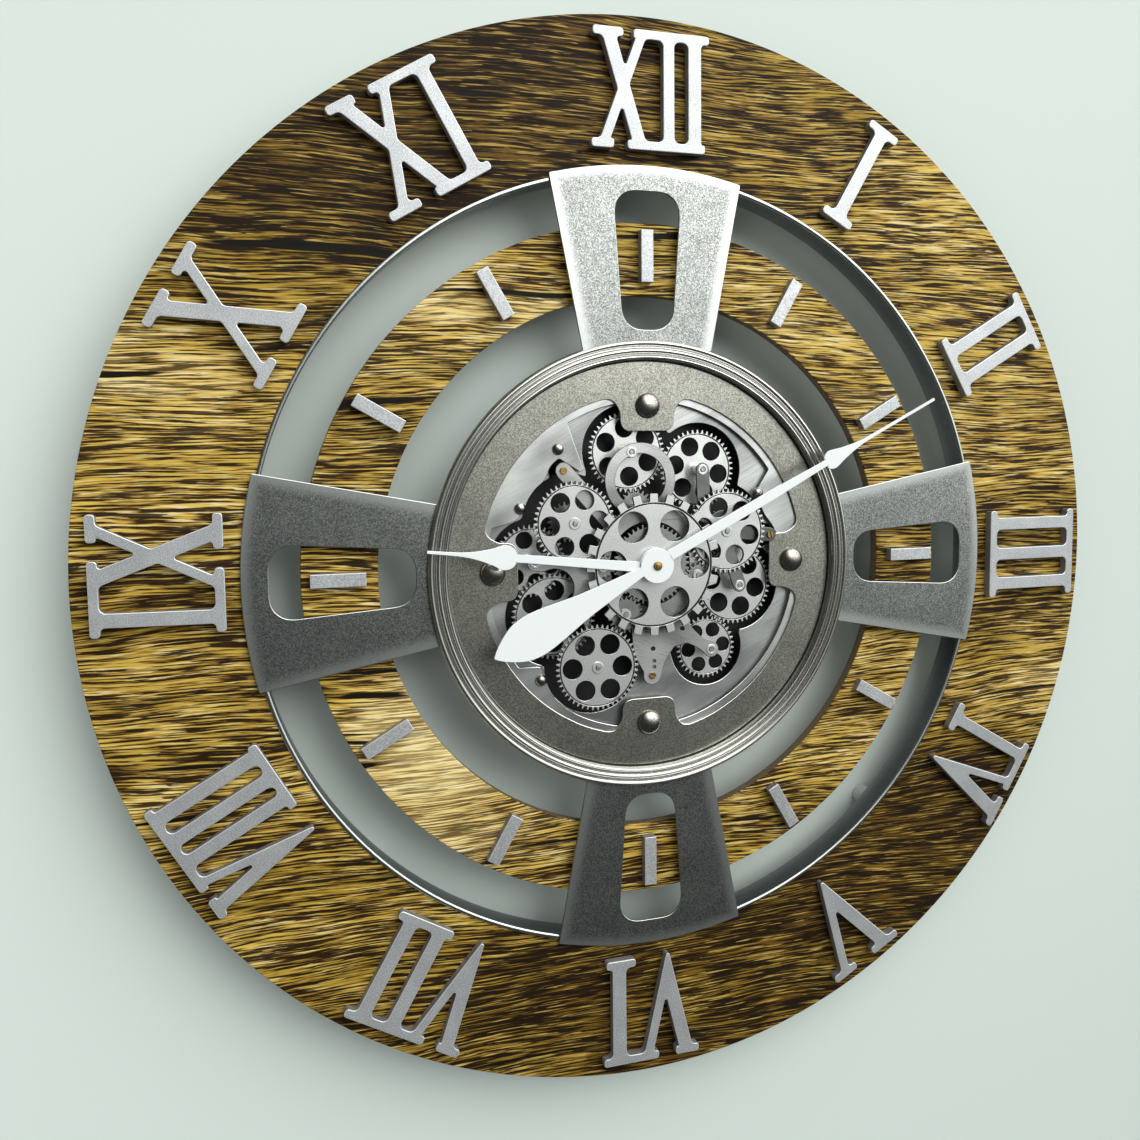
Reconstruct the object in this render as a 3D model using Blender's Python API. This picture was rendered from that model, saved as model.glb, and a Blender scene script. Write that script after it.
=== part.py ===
"""Large wall clock with an open gear train in its centre.

The model's frame: +X to the right, +Z up, the dial faces -Y.
The origin lies on the dial's axis, in the plane of the wall.
All sizes below are in millimetres. A depth is a height above the wall, towards the viewer.
"""
import math

import bmesh
import bpy
from mathutils import Matrix, Vector
from mathutils.geometry import tessellate_polygon

MM = 0.001

# Clearances
SEAT = 0.3             # between two pieces that touch
RUN = 0.3              # between a shaft and the bore that turns on it
AXIAL = 1.4            # between wheels and plates at different heights

# Wooden rings
DIAL_FACE = 42.0       # front face of the outer ring above the wall
AXIS = (0.0, 2.0)      # axis of the hands and of the centre wheel, a little above the dial's centre
RING_T = 9.0
HOOP_R = 290.0         # outside of the metal hoop, inside of the outer ring
NUMERAL_GAP = 14.0     # hoop to the numerals' feet
NUMERAL_H = 84.0
RIM_MARGIN = 12.0      # numerals' heads to the ring's rim
INNER_RING_W = 53.0    # the inner ring lies midway between the hoop and the bezel
INNER_RING_SET = 4.0   # inner ring's face behind the outer ring's face
TICK_FOOT = 9.0        # inner ring's bore to the tick bars
TICK_HEAD = 6.0        # tick bars to the inner ring's rim
TICK_W = 9.5
TICK_T = 7.0

# Numerals, each with its foot towards the centre; sideways places are from the hour's own line
NUMERAL_T = 7.0
BAR_T = 6.4            # thickness of a serif bar
V_FOOT = 2.6           # width of a V's blunt foot
# strokes: (at the foot, at the head, width); v: (left outer edge, its width, right outer edge,
# its width, at the head, then the foot); heads and feet: the ends of each serif bar
NUMERALS = {
    "numeral_01": {"strokes": [(3.0, 3.6, 10.6)], "heads": [(-10.0, 18.0)], "feet": [(-11.2, 16.6)]},
    "numeral_02": {"strokes": [(-10.2, -10.2, 10.3), (15.7, 15.7, 10.3)],
                   "heads": [(-23.1, 28.8)], "feet": [(-23.1, 28.8)]},
    "numeral_03": {"strokes": [(-22.1, -22.1, 10.0), (3.2, 3.2, 10.0), (28.1, 28.1, 10.0)],
                   "heads": [(-33.0, 39.6)], "feet": [(-33.0, 39.6)]},
    "numeral_04": {"strokes": [(-15.8, -15.4, 9.4)], "v": (6.6, 6.2, 44.8, 11.9, 22.1),
                   "heads": [(-26.7, 17.4), (24.5, 50.7)], "feet": [(-29.0, -4.5)]},
    "numeral_05": {"strokes": [], "v": (-22.6, 11.5, 28.6, 7.4, 5.5),
                   "heads": [(-30.5, -3.6), (13.8, 36.0)], "feet": []},
    "numeral_06": {"strokes": [(28.0, 28.0, 11.0)], "v": (-33.3, 11.0, 7.9, 7.2, -12.1),
                   "heads": [(-38.3, -18.8), (-4.5, 40.7)], "feet": [(14.5, 38.3)]},
    "numeral_07": {"strokes": [(12.7, 12.7, 10.2), (36.5, 36.5, 10.2)], "v": (-38.3, 10.0, -3.1, 6.6, -20.5),
                   "heads": [(-44.0, -25.7), (-14.5, 49.3)], "feet": [(2.9, 47.4)]},
    "numeral_08": {"strokes": [(6.7, 6.7, 9.6), (24.3, 24.3, 9.6), (43.0, 43.0, 10.0)],
                   "v": (-36.0, 9.4, -7.1, 6.2, -22.4),
                   "heads": [(-39.8, -24.3), (-16.7, 51.4)], "feet": [(-2.1, 50.7)]},
    "numeral_09": {"strokes": [(-19.6, -18.6, 9.6), (37.6, 7.9, 11.0), (2.4, 41.2, 7.6)],
                   "heads": [(-29.8, 20.2), (32.1, 50.5)], "feet": [(-30.2, 13.1), (25.5, 49.5)]},
    "numeral_10": {"strokes": [(26.2, -11.7, 11.4), (-15.5, 25.0, 7.8)],
                   "heads": [(-25.5, 1.4), (12.6, 36.7)], "feet": [(-26.0, -3.3), (9.8, 38.3)]},
    "numeral_11": {"strokes": [(6.4, -30.2, 10.4), (-28.6, 2.0, 7.6), (29.8, 30.4, 9.4)],
                   "heads": [(-41.7, -20.5), (-9.0, 42.6)], "feet": [(-40.0, -15.5), (-2.6, 41.0)]},
    "numeral_12": {"strokes": [(-6.7, -30.7, 10.4), (-34.5, -4.8, 7.6), (15.8, 15.8, 8.6), (36.2, 36.2, 10.2)],
                   "heads": [(-42.1, -19.0), (-11.2, 47.6)], "feet": [(-43.8, -26.7), (-16.4, 44.3)]},
}

# Hoop
HOOP_WALL = 2.0
HOOP_DEPTH = 21.5
LIP_W = 1.5            # lip beyond the hoop, over the wood
LIP_T = 1.2
TABS = 8
TAB_L = 24.0
TAB_W = 34.0
TAB_T = 2.0

# Bridges between the hoop and the centre
BRIDGE_T = 1.5
BRIDGE_IN_HALF = 49.5
BRIDGE_OUT_HALF = 75.0
BRIDGE_OVER = 4.5      # bridge beyond the hoop
BRIDGE_LIP = 2.4       # thickness of its folded end
WINDOW_FOOT = 7.5      # bezel to the window
WINDOW_HEAD = 14.0     # window to the hoop
WINDOW_IN_HALF = 19.5
WINDOW_OUT_HALF = 26.5
WINDOW_ROUND = 15.0
SPACER_R = 4.0
SPACER_OUT = 43.0      # spacer beside the bridge's middle line

# Centre pan and bezel
PAN_R = 155.0
PAN_WALL = 1.5
PAN_DEPTH = 20.0       # floor behind the outer ring's face
FLANGE_W = 12.5
BEZEL_LAP = 1.0        # bezel inside the pan's wall and outside its flange
BEZEL_LEDGE = 8.3      # bezel's outer part, which lies over the bridges
BEZEL_H = 4.2          # beads above the bridges
BEZEL_BEADS = ((0, 0.35), (1, 1.0), (2, 0.45), (3, 1.0), (4, 0.4), (5, 0.9), (6, 0.3))  # sixths in, height

# Plates in the pan
LUG_FACE = 1.0         # face above the outer ring's face
PLATE_T = 1.5
LUG_BAND = 23.2        # width of the lug ring between its lugs
LUG_REACH = 28.5       # lugs inside the ring
LUG_HALF = 21.5
LUG_ROUND = 8.0
LUG_FLARE = 6.0
MID_SHOW = 5.8         # middle plate's edge inside the lug ring's
LOW_PLATE_SET = 6.0    # its face behind the lug ring's face
GEAR_GAP = 5.0         # black gap between the wheels and the plates
LOW_SHOW = 3.0         # least of the lower plate inside the lug ring's opening
EDGE_STEP = 5.0        # degrees between the points of the plates' inner edges
EDGE_SET = 1.0         # middle plate's edge outside the lower plate's edge
MID_LOBES = ((10.0, 33.0), (123.0, 162.0), (219.0, 241.0))  # where the middle plate reaches in to the wheels
RIVET_IN = 9.5         # rivets inside the lug ring's opening
RIVET_R = 9.5
RIVET_H = 5.5
RIVET_DOME = ((1.0, 0.0), (0.9, 0.45), (0.55, 0.85), (0.0, 1.0))  # shares of its radius and height
RIVET_SHANK_R = 3.0
RIVET_CLEAR = 3.5      # degrees each side of a rivet where the lower plate is kept whole
RIM_AT_RIVET = 2.0     # plate left inside a rivet's hole

# Gear train
MODULE = 1.31
ADDENDUM = 0.75        # of the module
DEDENDUM = 1.25
TIP_FLAT = 0.6         # width of a tooth's tip
WHEEL_T = 2.4
LOW_SET = 12.4         # back of the lowest wheels behind the ring's face
DEEP_SET = 8.4
TRAIN_BRIDGE_SET = 3.6  # back of the train's bridges above the ring's face
TRAIN_BRIDGE_T = 1.4
STUD_R = 1.8
SHOULDER_R = 3.2
SLEEVE_R = 5.0
BOSS_R = 4.4
BOSS_H = 1.0
STUD_OUT = 0.6         # stud's end beyond the hub
HOLE_AT = 0.62         # ring of holes, of the pitch radius
HOLE_R = 0.243         # hole radius, of the pitch radius
CENTRE_HOLE_R = 0.17

# Crowned wheel in front
CROWN_TIP_R = 53.1
CROWN_ROOT_R = 46.8
CROWN_TEETH = 24
CROWN_TOOTH = 0.46     # tooth's width, of the pitch
CROWN_FLARE = 1.25     # tooth's foot, of its tip
CROWN_HOLE_AT = 33.0
CROWN_HOLE_R = 11.7
CENTRE_TEETH = 45

# Train bridges
ARM_HALF = 6.3
ARM_THIN = 5.5
COLLAR_R = 45.5        # ring behind the crowned wheel
CRESCENT_AT = (-7.4, 65.0)
CRESCENT_R = 28.3
CRESCENT_BORE = 20.0
SCOOP_R = 15.1         # hollow edge over the left wheel
SCOOP_AT = (-2.2, 22.0)  # from the left wheel
ARM_DEGREES = (135.0, 178.0, 200.0)  # where its left arms leave the collar
WEB_DEGREES = (176.0, 204.0)  # where the web between two arms leaves the collar
WEB_FAR = (8.0, -2.0)  # the web's corner, from the far left wheel
WEB_LEFT = (2.0, 3.0)  # and from the left wheel
KNEE = (1.5, 12.0)     # right bridge's bend, from the upper right wheel sideways and from the hub upwards
HUB_DISC = 2.6         # right bridge's disc, of the arms' half width
LOWER_ROOT = (1.0, -8.0)  # root of its lower arm, from the hub
LOWER_RIM = (250.0, 302.0)  # lower bridge's arc beside the collar, in degrees
LOWER_FOOT_R = 7.5
LOWER_TOP = ((-13.4, 14.9), (-6.0, 8.4))  # upper edge of its arm, from the lower right wheel
LOWER_EDGE = ((-10.1, 1.4), (-20.0, 6.2), (-30.6, 4.3))  # lower edge of its arm
LOWER_RIGHT = (10.1, 10.0)  # beside its foot
LOWER_LEFT = (-15.3, 18.0)
POST_LEFT = (-67.3, 73.0)
POST_RIGHT = (100.0, 20.6)
POST_FOOT = (1.3, -83.4)
POST_R = 3.3

# Hands
TIME_MINUTES = 10.5
TIME_HOUR = 9.0
HAND_T = 1.2
HAND_GAP = 1.6
HOUR_LEAD = 1.0        # degrees that the hour hand was put on ahead
HOUR_L = 172.0
HOUR_HALF = 9.0        # half width of its spade
MINUTE_L = 268.0
MINUTE_HALF = 7.3
TAIL_L = 139.0
TAIL_HALF = 16.0
# Half a hand's outline from the hub outwards, in shares of its length and of its half width
HOUR_SIDE = ((0.07, 0.42), (0.613, 0.32), (0.634, 0.74), (0.66, 0.98), (0.703, 0.8), (0.762, 0.46),
             (0.82, 0.22), (0.9, 0.14), (1.0, 0.13))
MINUTE_SIDE = ((0.046, 0.55), (0.38, 0.52), (0.586, 0.35), (0.596, 0.74), (0.613, 1.0), (0.638, 0.8), (0.664, 0.58),
               (0.709, 0.31), (0.77, 0.18), (1.0, 0.16))
TAIL_SIDE = ((0.08, 0.22), (0.3, 0.42), (0.53, 0.69), (0.68, 0.92), (0.77, 1.0), (0.87, 0.84), (0.94, 0.5),
             (1.0, 0.03))
NUT_R = 3.4
NUT_H = 1.9
NUT_SHAPE = ((1.0, 0.0), (1.0, 0.47), (0.56, 0.9), (0.0, 1.0))
HUB_R = 13.0
BUSH_R = 4.5
BUSH_BORE = 3.5
PIPE_R = 3.2
PIPE_BORE = 2.1
ARBOR_R = 1.8

# Back
MOVEMENT_SIDE = 56.0
MOVEMENT_T = 16.0
MOVEMENT_ROUND = 4.0
KNOB_R = 7.0
KNOB_FLUTE = 0.9       # knob's radius between its ribs
KNOB_OUT = 12.3        # knob beside the hands' axis
KNOB_PIN_R = 1.5
KNOB_T = 2.6
MOTOR_SIDE = 42.0
MOTOR_T = 14.0
MOTOR_ROUND = 3.0
SHAFT_END = 1.0        # motor's hole beyond the shaft's end
BATTERY_W = 60.0
BATTERY_H = 34.0
BATTERY_T = 15.0
BATTERY_AT = (-48.0, -58.0)
HANGER_W = 30.0
HANGER_T = 1.8
HANGER_H = 46.0        # part that lies on the wall
HANGER_CLEAR = 2.5     # strap beyond the hoop
EYE_UP = 0.4           # keyhole's eye up the part that lies on the wall
KEYHOLE_R = 5.0
KEYHOLE_SLOT = 2.2
KEYHOLE_L = 11.0
FOOT_R = 8.0

# Sides of round pieces
RING_SIDES = 48
PAN_SIDES = 32
COLLAR_SIDES = 24
LOOP_SIDES = 16
BUSH_SIDES = 12
RIVET_SIDES = 10
DRUM_SIDES = 8
CUT_OVER = 1.0         # a cutter beyond the faces that it cuts

# What follows from the sizes above
NUMERAL_FOOT_R = HOOP_R + NUMERAL_GAP
RING_R = NUMERAL_FOOT_R + NUMERAL_H + RIM_MARGIN
RING_BACK = DIAL_FACE - RING_T
LIP_TOP = DIAL_FACE + SEAT + LIP_T
BRIDGE_BACK = LIP_TOP + SEAT
BRIDGE_FACE = BRIDGE_BACK + BRIDGE_T
BEZEL_IN_R = PAN_R - BEZEL_LAP
FLANGE_R = PAN_R + FLANGE_W
BEZEL_R = FLANGE_R + BEZEL_LAP
BEZEL_SKIRT_R = BEZEL_R - BEZEL_LEDGE
INNER_FACE = DIAL_FACE - INNER_RING_SET
INNER_RING_R = (HOOP_R - HOOP_WALL + BEZEL_R + INNER_RING_W) / 2
INNER_RING_BORE = INNER_RING_R - INNER_RING_W
TICK_IN_R = INNER_RING_BORE + TICK_FOOT
TICK_OUT_R = INNER_RING_R - TICK_HEAD
WINDOW_IN_R = BEZEL_R + WINDOW_FOOT
WINDOW_OUT_R = HOOP_R - WINDOW_HEAD
PAN_FLOOR = DIAL_FACE - PAN_DEPTH
PAN_BACK = PAN_FLOOR - PAN_WALL
LUG_BACK = DIAL_FACE + LUG_FACE - PLATE_T
MID_FACE = LUG_BACK - SEAT
LOW_PLATE_FACE = DIAL_FACE + LUG_FACE - LOW_PLATE_SET
PLATE_R = PAN_R - PAN_WALL - SEAT
OPENING_R = PLATE_R - LUG_BAND
LUG_TIP_R = OPENING_R - LUG_REACH
MID_OPENING_R = OPENING_R - MID_SHOW
LOW_PLATE_R = OPENING_R - LOW_SHOW
RIVET_AT_R = OPENING_R - RIVET_IN
LOW = DIAL_FACE - LOW_SET
DEEP = DIAL_FACE - DEEP_SET
TRAIN_BRIDGE = DIAL_FACE + TRAIN_BRIDGE_SET
FRONT = TRAIN_BRIDGE + TRAIN_BRIDGE_T + AXIAL
CROWN = FRONT + WHEEL_T + BOSS_H + AXIAL
HOUR = CROWN + WHEEL_T + 2 * AXIAL
MINUTE = HOUR + HAND_T + HAND_GAP

KNOB_AT = (AXIS[0] + KNOB_OUT, AXIS[1])

COLOURS = {
    "wood": ((0.42, 0.27, 0.09, 1), 0.6, 0.0),
    "numeral": ((0.55, 0.56, 0.58, 1), 0.45, 0.6),
    "pewter": ((0.36, 0.34, 0.32, 1), 0.42, 0.9),
    "hoop": ((0.3, 0.31, 0.32, 1), 0.4, 0.9),
    "bezel": ((0.5, 0.47, 0.45, 1), 0.22, 1.0),
    "plate": ((0.55, 0.55, 0.56, 1), 0.35, 1.0),
    "gear": ((0.78, 0.78, 0.79, 1), 0.2, 1.0),
    "pit": ((0.012, 0.012, 0.012, 1), 0.6, 0.2),
    "rivet": ((0.4, 0.36, 0.34, 1), 0.25, 1.0),
    "hand": ((0.88, 0.9, 0.92, 1), 0.25, 0.0),
    "brass": ((0.75, 0.52, 0.2, 1), 0.3, 1.0),
    "plastic": ((0.02, 0.02, 0.022, 1), 0.5, 0.0),
    "steel": ((0.5, 0.5, 0.5, 1), 0.4, 1.0),
    "rubber": ((0.03, 0.03, 0.03, 1), 0.8, 0.0),
}


def clear_scene():
    for obj in list(bpy.data.objects):
        bpy.data.objects.remove(obj, do_unlink=True)


def polar(radius, degrees, centre=(0.0, 0.0)):
    a = math.radians(degrees)
    return (centre[0] + radius * math.cos(a), centre[1] + radius * math.sin(a))


def circle(radius, sides, centre=(0.0, 0.0), start=0.0):
    return [polar(radius, start + 360.0 * i / sides, centre) for i in range(sides)]


def arc(radius, start, end, steps, centre=(0.0, 0.0)):
    return [polar(radius, start + (end - start) * i / steps, centre) for i in range(steps + 1)]


def turned(loop, degrees, centre=(0.0, 0.0)):
    c = math.cos(math.radians(degrees))
    s = math.sin(math.radians(degrees))
    return [(centre[0] + x * c - z * s, centre[1] + x * s + z * c) for x, z in loop]


def rounded(corners, steps=4):
    """A closed outline from (x, z, radius) corners, each rounded by its radius."""
    loop = []
    count = len(corners)
    for i, (x, z, radius) in enumerate(corners):
        here = Vector((x, z))
        back = Vector(corners[i - 1][:2]) - here
        ahead = Vector(corners[(i + 1) % count][:2]) - here
        if radius <= 0.0:
            loop.append((x, z))
            continue
        half = back.angle(ahead) / 2.0
        reach = radius / math.tan(half)
        reach = min(reach, 0.49 * back.length, 0.49 * ahead.length)
        radius = reach * math.tan(half)
        middle = (back.normalized() + ahead.normalized()).normalized()
        centre = here + middle * (radius / math.sin(half))
        first = here + back.normalized() * reach - centre
        last = here + ahead.normalized() * reach - centre
        swing = first.angle_signed(last)
        for k in range(steps + 1):
            spoke = first.copy()
            spoke.rotate(Matrix.Rotation(-swing * k / steps, 2))
            loop.append((centre.x + spoke.x, centre.y + spoke.y))
    return loop


class Solid:
    """A closed body made of flat caps at given depths and of walls along outlines."""

    def __init__(self, name):
        self.name = name
        self.mesh = bmesh.new()
        self.known = {}

    def vertex(self, x, z, depth):
        key = (round(x, 5), round(z, 5), round(depth, 5))
        if key not in self.known:
            self.known[key] = self.mesh.verts.new((x * MM, -depth * MM, z * MM))
        return self.known[key]

    def face(self, corners):
        verts = [self.vertex(*c) for c in corners]
        if len(set(verts)) == len(verts):
            self.mesh.faces.new(verts)

    def cap(self, depth, outer, *holes):
        loops = [outer, *holes]
        points = [point for loop in loops for point in loop]
        sheet = [[Vector((x, z, 0.0)) for x, z in loop] for loop in loops]
        for triangle in tessellate_polygon(sheet):
            self.face([(*points[i], depth) for i in triangle])

    def wall(self, loop, back, front):
        for i, here in enumerate(loop):
            ahead = loop[(i + 1) % len(loop)]
            self.face([(*here, back), (*ahead, back), (*ahead, front), (*here, front)])

    def prism(self, back, front, outer, *holes):
        self.cap(back, outer, *holes)
        self.cap(front, outer, *holes)
        for loop in (outer, *holes):
            self.wall(loop, back, front)

    def strip(self, profile, left, right):
        """A (height, depth) profile drawn out sideways."""
        sheet = [[Vector((z, depth, 0.0)) for z, depth in profile]]
        for triangle in tessellate_polygon(sheet):
            for x in (left, right):
                self.face([(x, *profile[i]) for i in triangle])
        for i, here in enumerate(profile):
            ahead = profile[(i + 1) % len(profile)]
            self.face([(left, *here), (left, *ahead), (right, *ahead), (right, *here)])

    def finish(self, look):
        bmesh.ops.recalc_face_normals(self.mesh, faces=self.mesh.faces)
        data = bpy.data.meshes.new(self.name)
        self.mesh.to_mesh(data)
        self.mesh.free()
        obj = bpy.data.objects.new(self.name, data)
        bpy.context.collection.objects.link(obj)
        paint(obj, look)
        return obj


def paint(obj, look):
    colour, roughness, metallic = COLOURS[look]
    material = bpy.data.materials.new(obj.name)
    material.use_nodes = True
    shader = material.node_tree.nodes["Principled BSDF"]
    shader.inputs["Base Color"].default_value = colour
    shader.inputs["Roughness"].default_value = roughness
    shader.inputs["Metallic"].default_value = metallic
    material.diffuse_color = colour
    obj.data.materials.clear()
    obj.data.materials.append(material)


def smooth(obj, degrees=30.0):
    obj.data.shade_smooth()
    obj.data.set_sharp_from_angle(angle=math.radians(degrees))


def lathe(name, profile, sides, look, centre=(0.0, 0.0)):
    """A turned piece from a closed (radius, depth) profile; radius 0 lies on the axis."""
    solid = Solid(name)
    rings = []
    for radius, depth in profile:
        loop = [centre] if radius == 0.0 else circle(radius, sides, centre)
        rings.append([(*point, depth) for point in loop])
    for i, ring in enumerate(rings):
        following = rings[(i + 1) % len(rings)]
        for k in range(sides):
            a = ring[k % len(ring)]
            b = ring[(k + 1) % len(ring)]
            c = following[(k + 1) % len(following)]
            d = following[k % len(following)]
            corners = list(dict.fromkeys((a, b, c, d)))
            if len(corners) > 2:
                solid.face(corners)
    obj = solid.finish(look)
    smooth(obj)
    return obj


def combine(obj, others, operation="UNION"):
    """Joins the others to the object, or cuts them out of it."""
    for other in others:
        step = obj.modifiers.new(operation.lower(), "BOOLEAN")
        step.operation = operation
        step.solver = "EXACT"
        step.object = other
    bpy.context.view_layer.update()
    shaped = bpy.data.meshes.new_from_object(obj.evaluated_get(bpy.context.evaluated_depsgraph_get()))
    obj.modifiers.clear()
    obj.data = shaped
    for other in others:
        bpy.data.objects.remove(other, do_unlink=True)
    tidy = bmesh.new()
    tidy.from_mesh(shaped)
    bmesh.ops.remove_doubles(tidy, verts=tidy.verts, dist=0.00001)
    bmesh.ops.dissolve_limit(tidy, angle_limit=0.002, verts=tidy.verts, edges=tidy.edges)
    bmesh.ops.triangulate(tidy, faces=tidy.faces)
    tidy.to_mesh(shaped)
    tidy.free()
    return obj


def block(name, back, front, loop):
    solid = Solid(name)
    solid.prism(back, front, loop)
    return solid.finish("steel")


def through(name, back, front, loop):
    """A cutter that reaches past both faces of what it cuts."""
    return block(name, back - CUT_OVER, front + CUT_OVER, loop)


def bar(x0, x1, z0, z1):
    return [(x0, z0), (x1, z0), (x1, z1), (x0, z1)]


def case_outline(half_w, half_h, corner, centre):
    x, z = centre
    return rounded([(x - half_w, z - half_h, corner), (x + half_w, z - half_h, corner),
                    (x + half_w, z + half_h, corner), (x - half_w, z + half_h, corner)], 2)


def capsule(start, end, half, sides=5):
    """A straight arm with round ends, as an outline."""
    angle = math.degrees(math.atan2(end[1] - start[1], end[0] - start[0]))
    return (arc(half, angle + 90.0, angle + 270.0, sides, start)
            + arc(half, angle - 90.0, angle + 90.0, sides, end))


# Wooden rings, numerals and tick bars

def make_outer_ring():
    solid = Solid("outer_dial_ring")
    solid.prism(RING_BACK, DIAL_FACE, circle(RING_R, RING_SIDES), circle(HOOP_R + SEAT, RING_SIDES))
    smooth(solid.finish("wood"))


def make_inner_ring():
    solid = Solid("inner_dial_ring")
    outer = circle(INNER_RING_R, RING_SIDES)
    bore = circle(INNER_RING_BORE, RING_SIDES)
    ticks = []
    for hour in range(12):
        tick = bar(TICK_IN_R, TICK_OUT_R, -TICK_W / 2, TICK_W / 2)
        ticks.append(turned(tick, 30.0 * hour))
    solid.cap(INNER_FACE - RING_T, outer, bore)
    solid.cap(INNER_FACE, outer, bore, *ticks)
    solid.wall(outer, INNER_FACE - RING_T, INNER_FACE)
    solid.wall(bore, INNER_FACE - RING_T, INNER_FACE)
    for tick in ticks:
        solid.wall(tick, INNER_FACE, INNER_FACE + TICK_T)
        solid.cap(INNER_FACE + TICK_T, tick)
    smooth(solid.finish("wood"))


def slanted(foot_x, head_x, width):
    """A stroke from foot to head, given by the middle of each end."""
    half = width / 2
    inset = BAR_T / 2
    return [(foot_x - half, inset), (foot_x + half, inset),
            (head_x + half, NUMERAL_H - inset), (head_x - half, NUMERAL_H - inset)]


def vee(left, left_w, right, right_w, foot):
    """A V: its outer edges meet in a blunt foot and its inner edges run beside them to a notch."""
    half = V_FOOT / 2
    head = NUMERAL_H - BAR_T / 2
    lean_left = foot - half - left
    lean_right = foot + half - right
    share = (right - right_w - left - left_w) / (lean_left - lean_right)
    notch = (left + left_w + lean_left * share, head * (1.0 - share))
    return [(foot - half, 0.0), (foot + half, 0.0), (right, head), (right - right_w, head),
            notch, (left + left_w, head), (left, head)]


def numeral_outlines(shape):
    loops = [slanted(*stroke) for stroke in shape["strokes"]]
    if "v" in shape:
        loops.append(vee(*shape["v"]))
    loops += [bar(x0, x1, NUMERAL_H - BAR_T, NUMERAL_H) for x0, x1 in shape["heads"]]
    loops += [bar(x0, x1, 0.0, BAR_T) for x0, x1 in shape["feet"]]
    return loops


def make_numerals():
    back = DIAL_FACE + SEAT
    for hour, (name, shape) in enumerate(NUMERALS.items(), start=1):
        pieces = []
        for loop in numeral_outlines(shape):
            placed = turned([(x, z + NUMERAL_FOOT_R) for x, z in loop], -30.0 * hour)
            pieces.append(block(name if not pieces else "stroke", back, back + NUMERAL_T, placed))
        paint(combine(pieces[0], pieces[1:]), "numeral")


# Hoop, bridges, pan, bezel and plates

def make_hoop():
    back = LIP_TOP - HOOP_DEPTH
    inner = HOOP_R - HOOP_WALL
    profile = [(inner, back), (HOOP_R, back), (HOOP_R, LIP_TOP - LIP_T),
               (HOOP_R + LIP_W, LIP_TOP - LIP_T), (HOOP_R + LIP_W, LIP_TOP), (inner, LIP_TOP)]
    hoop = lathe("rim_hoop", profile, RING_SIDES, "hoop")
    front = RING_BACK - SEAT
    tabs = []
    for k in range(TABS):
        tab = bar(HOOP_R - HOOP_WALL / 2, HOOP_R + TAB_L, -TAB_W / 2, TAB_W / 2)
        loop = turned(tab, 360.0 * k / TABS)
        tabs.append(block("tab", front - TAB_T, front, loop))
    paint(combine(hoop, tabs), "hoop")
    smooth(hoop)


def bridge_outline():
    """A wedge along +X, with its inner end hollow and its outer end round."""
    inner_r = BEZEL_SKIRT_R + SEAT
    outer_r = HOOP_R + BRIDGE_OVER
    a_in = math.degrees(math.asin(BRIDGE_IN_HALF / inner_r))
    a_out = math.degrees(math.asin(BRIDGE_OUT_HALF / outer_r))
    return arc(outer_r, -a_out, a_out, 8) + arc(inner_r, a_in, -a_in, 6)


def make_bridge(name, degrees):
    window = rounded([(WINDOW_IN_R, -WINDOW_IN_HALF, WINDOW_ROUND), (WINDOW_OUT_R, -WINDOW_OUT_HALF, WINDOW_ROUND),
                      (WINDOW_OUT_R, WINDOW_OUT_HALF, WINDOW_ROUND), (WINDOW_IN_R, WINDOW_IN_HALF, WINDOW_ROUND)])
    solid = Solid(name)
    spacers = []
    for side in (-1, 1):
        spacers.append(circle(SPACER_R, DRUM_SIDES, ((TICK_IN_R + TICK_OUT_R) / 2, side * SPACER_OUT)))
    outline = turned(bridge_outline(), degrees)
    window = turned(window, degrees)
    spacers = [turned(loop, degrees) for loop in spacers]
    solid.cap(BRIDGE_FACE, outline, window)
    solid.cap(BRIDGE_BACK, outline, window, *spacers)
    solid.wall(outline, BRIDGE_BACK, BRIDGE_FACE)
    solid.wall(window, BRIDGE_BACK, BRIDGE_FACE)
    for loop in spacers:
        solid.wall(loop, INNER_FACE + SEAT, BRIDGE_BACK)
        solid.cap(INNER_FACE + SEAT, loop)
    bridge = solid.finish("pewter")
    outer_r = HOOP_R + BRIDGE_OVER
    half = math.degrees(math.asin(BRIDGE_OUT_HALF / outer_r)) - 0.4
    fold = arc(outer_r - SEAT, -half, half, 8) + arc(outer_r - BRIDGE_LIP, half, -half, 8)
    folded = block("fold", DIAL_FACE + SEAT, BRIDGE_FACE - SEAT, turned(fold, degrees))
    paint(combine(bridge, [folded]), "pewter")
    smooth(bridge)


def stud_solid(spot, foot, shoulder, pin):
    """A turned stud: a wide part up to the shoulder and a pin above it."""
    outer = circle(SHOULDER_R, DRUM_SIDES, spot)
    inner = circle(STUD_R, DRUM_SIDES, spot)
    stud = Solid("stud")
    stud.cap(foot, outer)
    stud.wall(outer, foot, shoulder)
    stud.cap(shoulder, outer, inner)
    stud.wall(inner, shoulder, pin)
    stud.cap(pin, inner)
    return stud.finish("pit")


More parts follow.
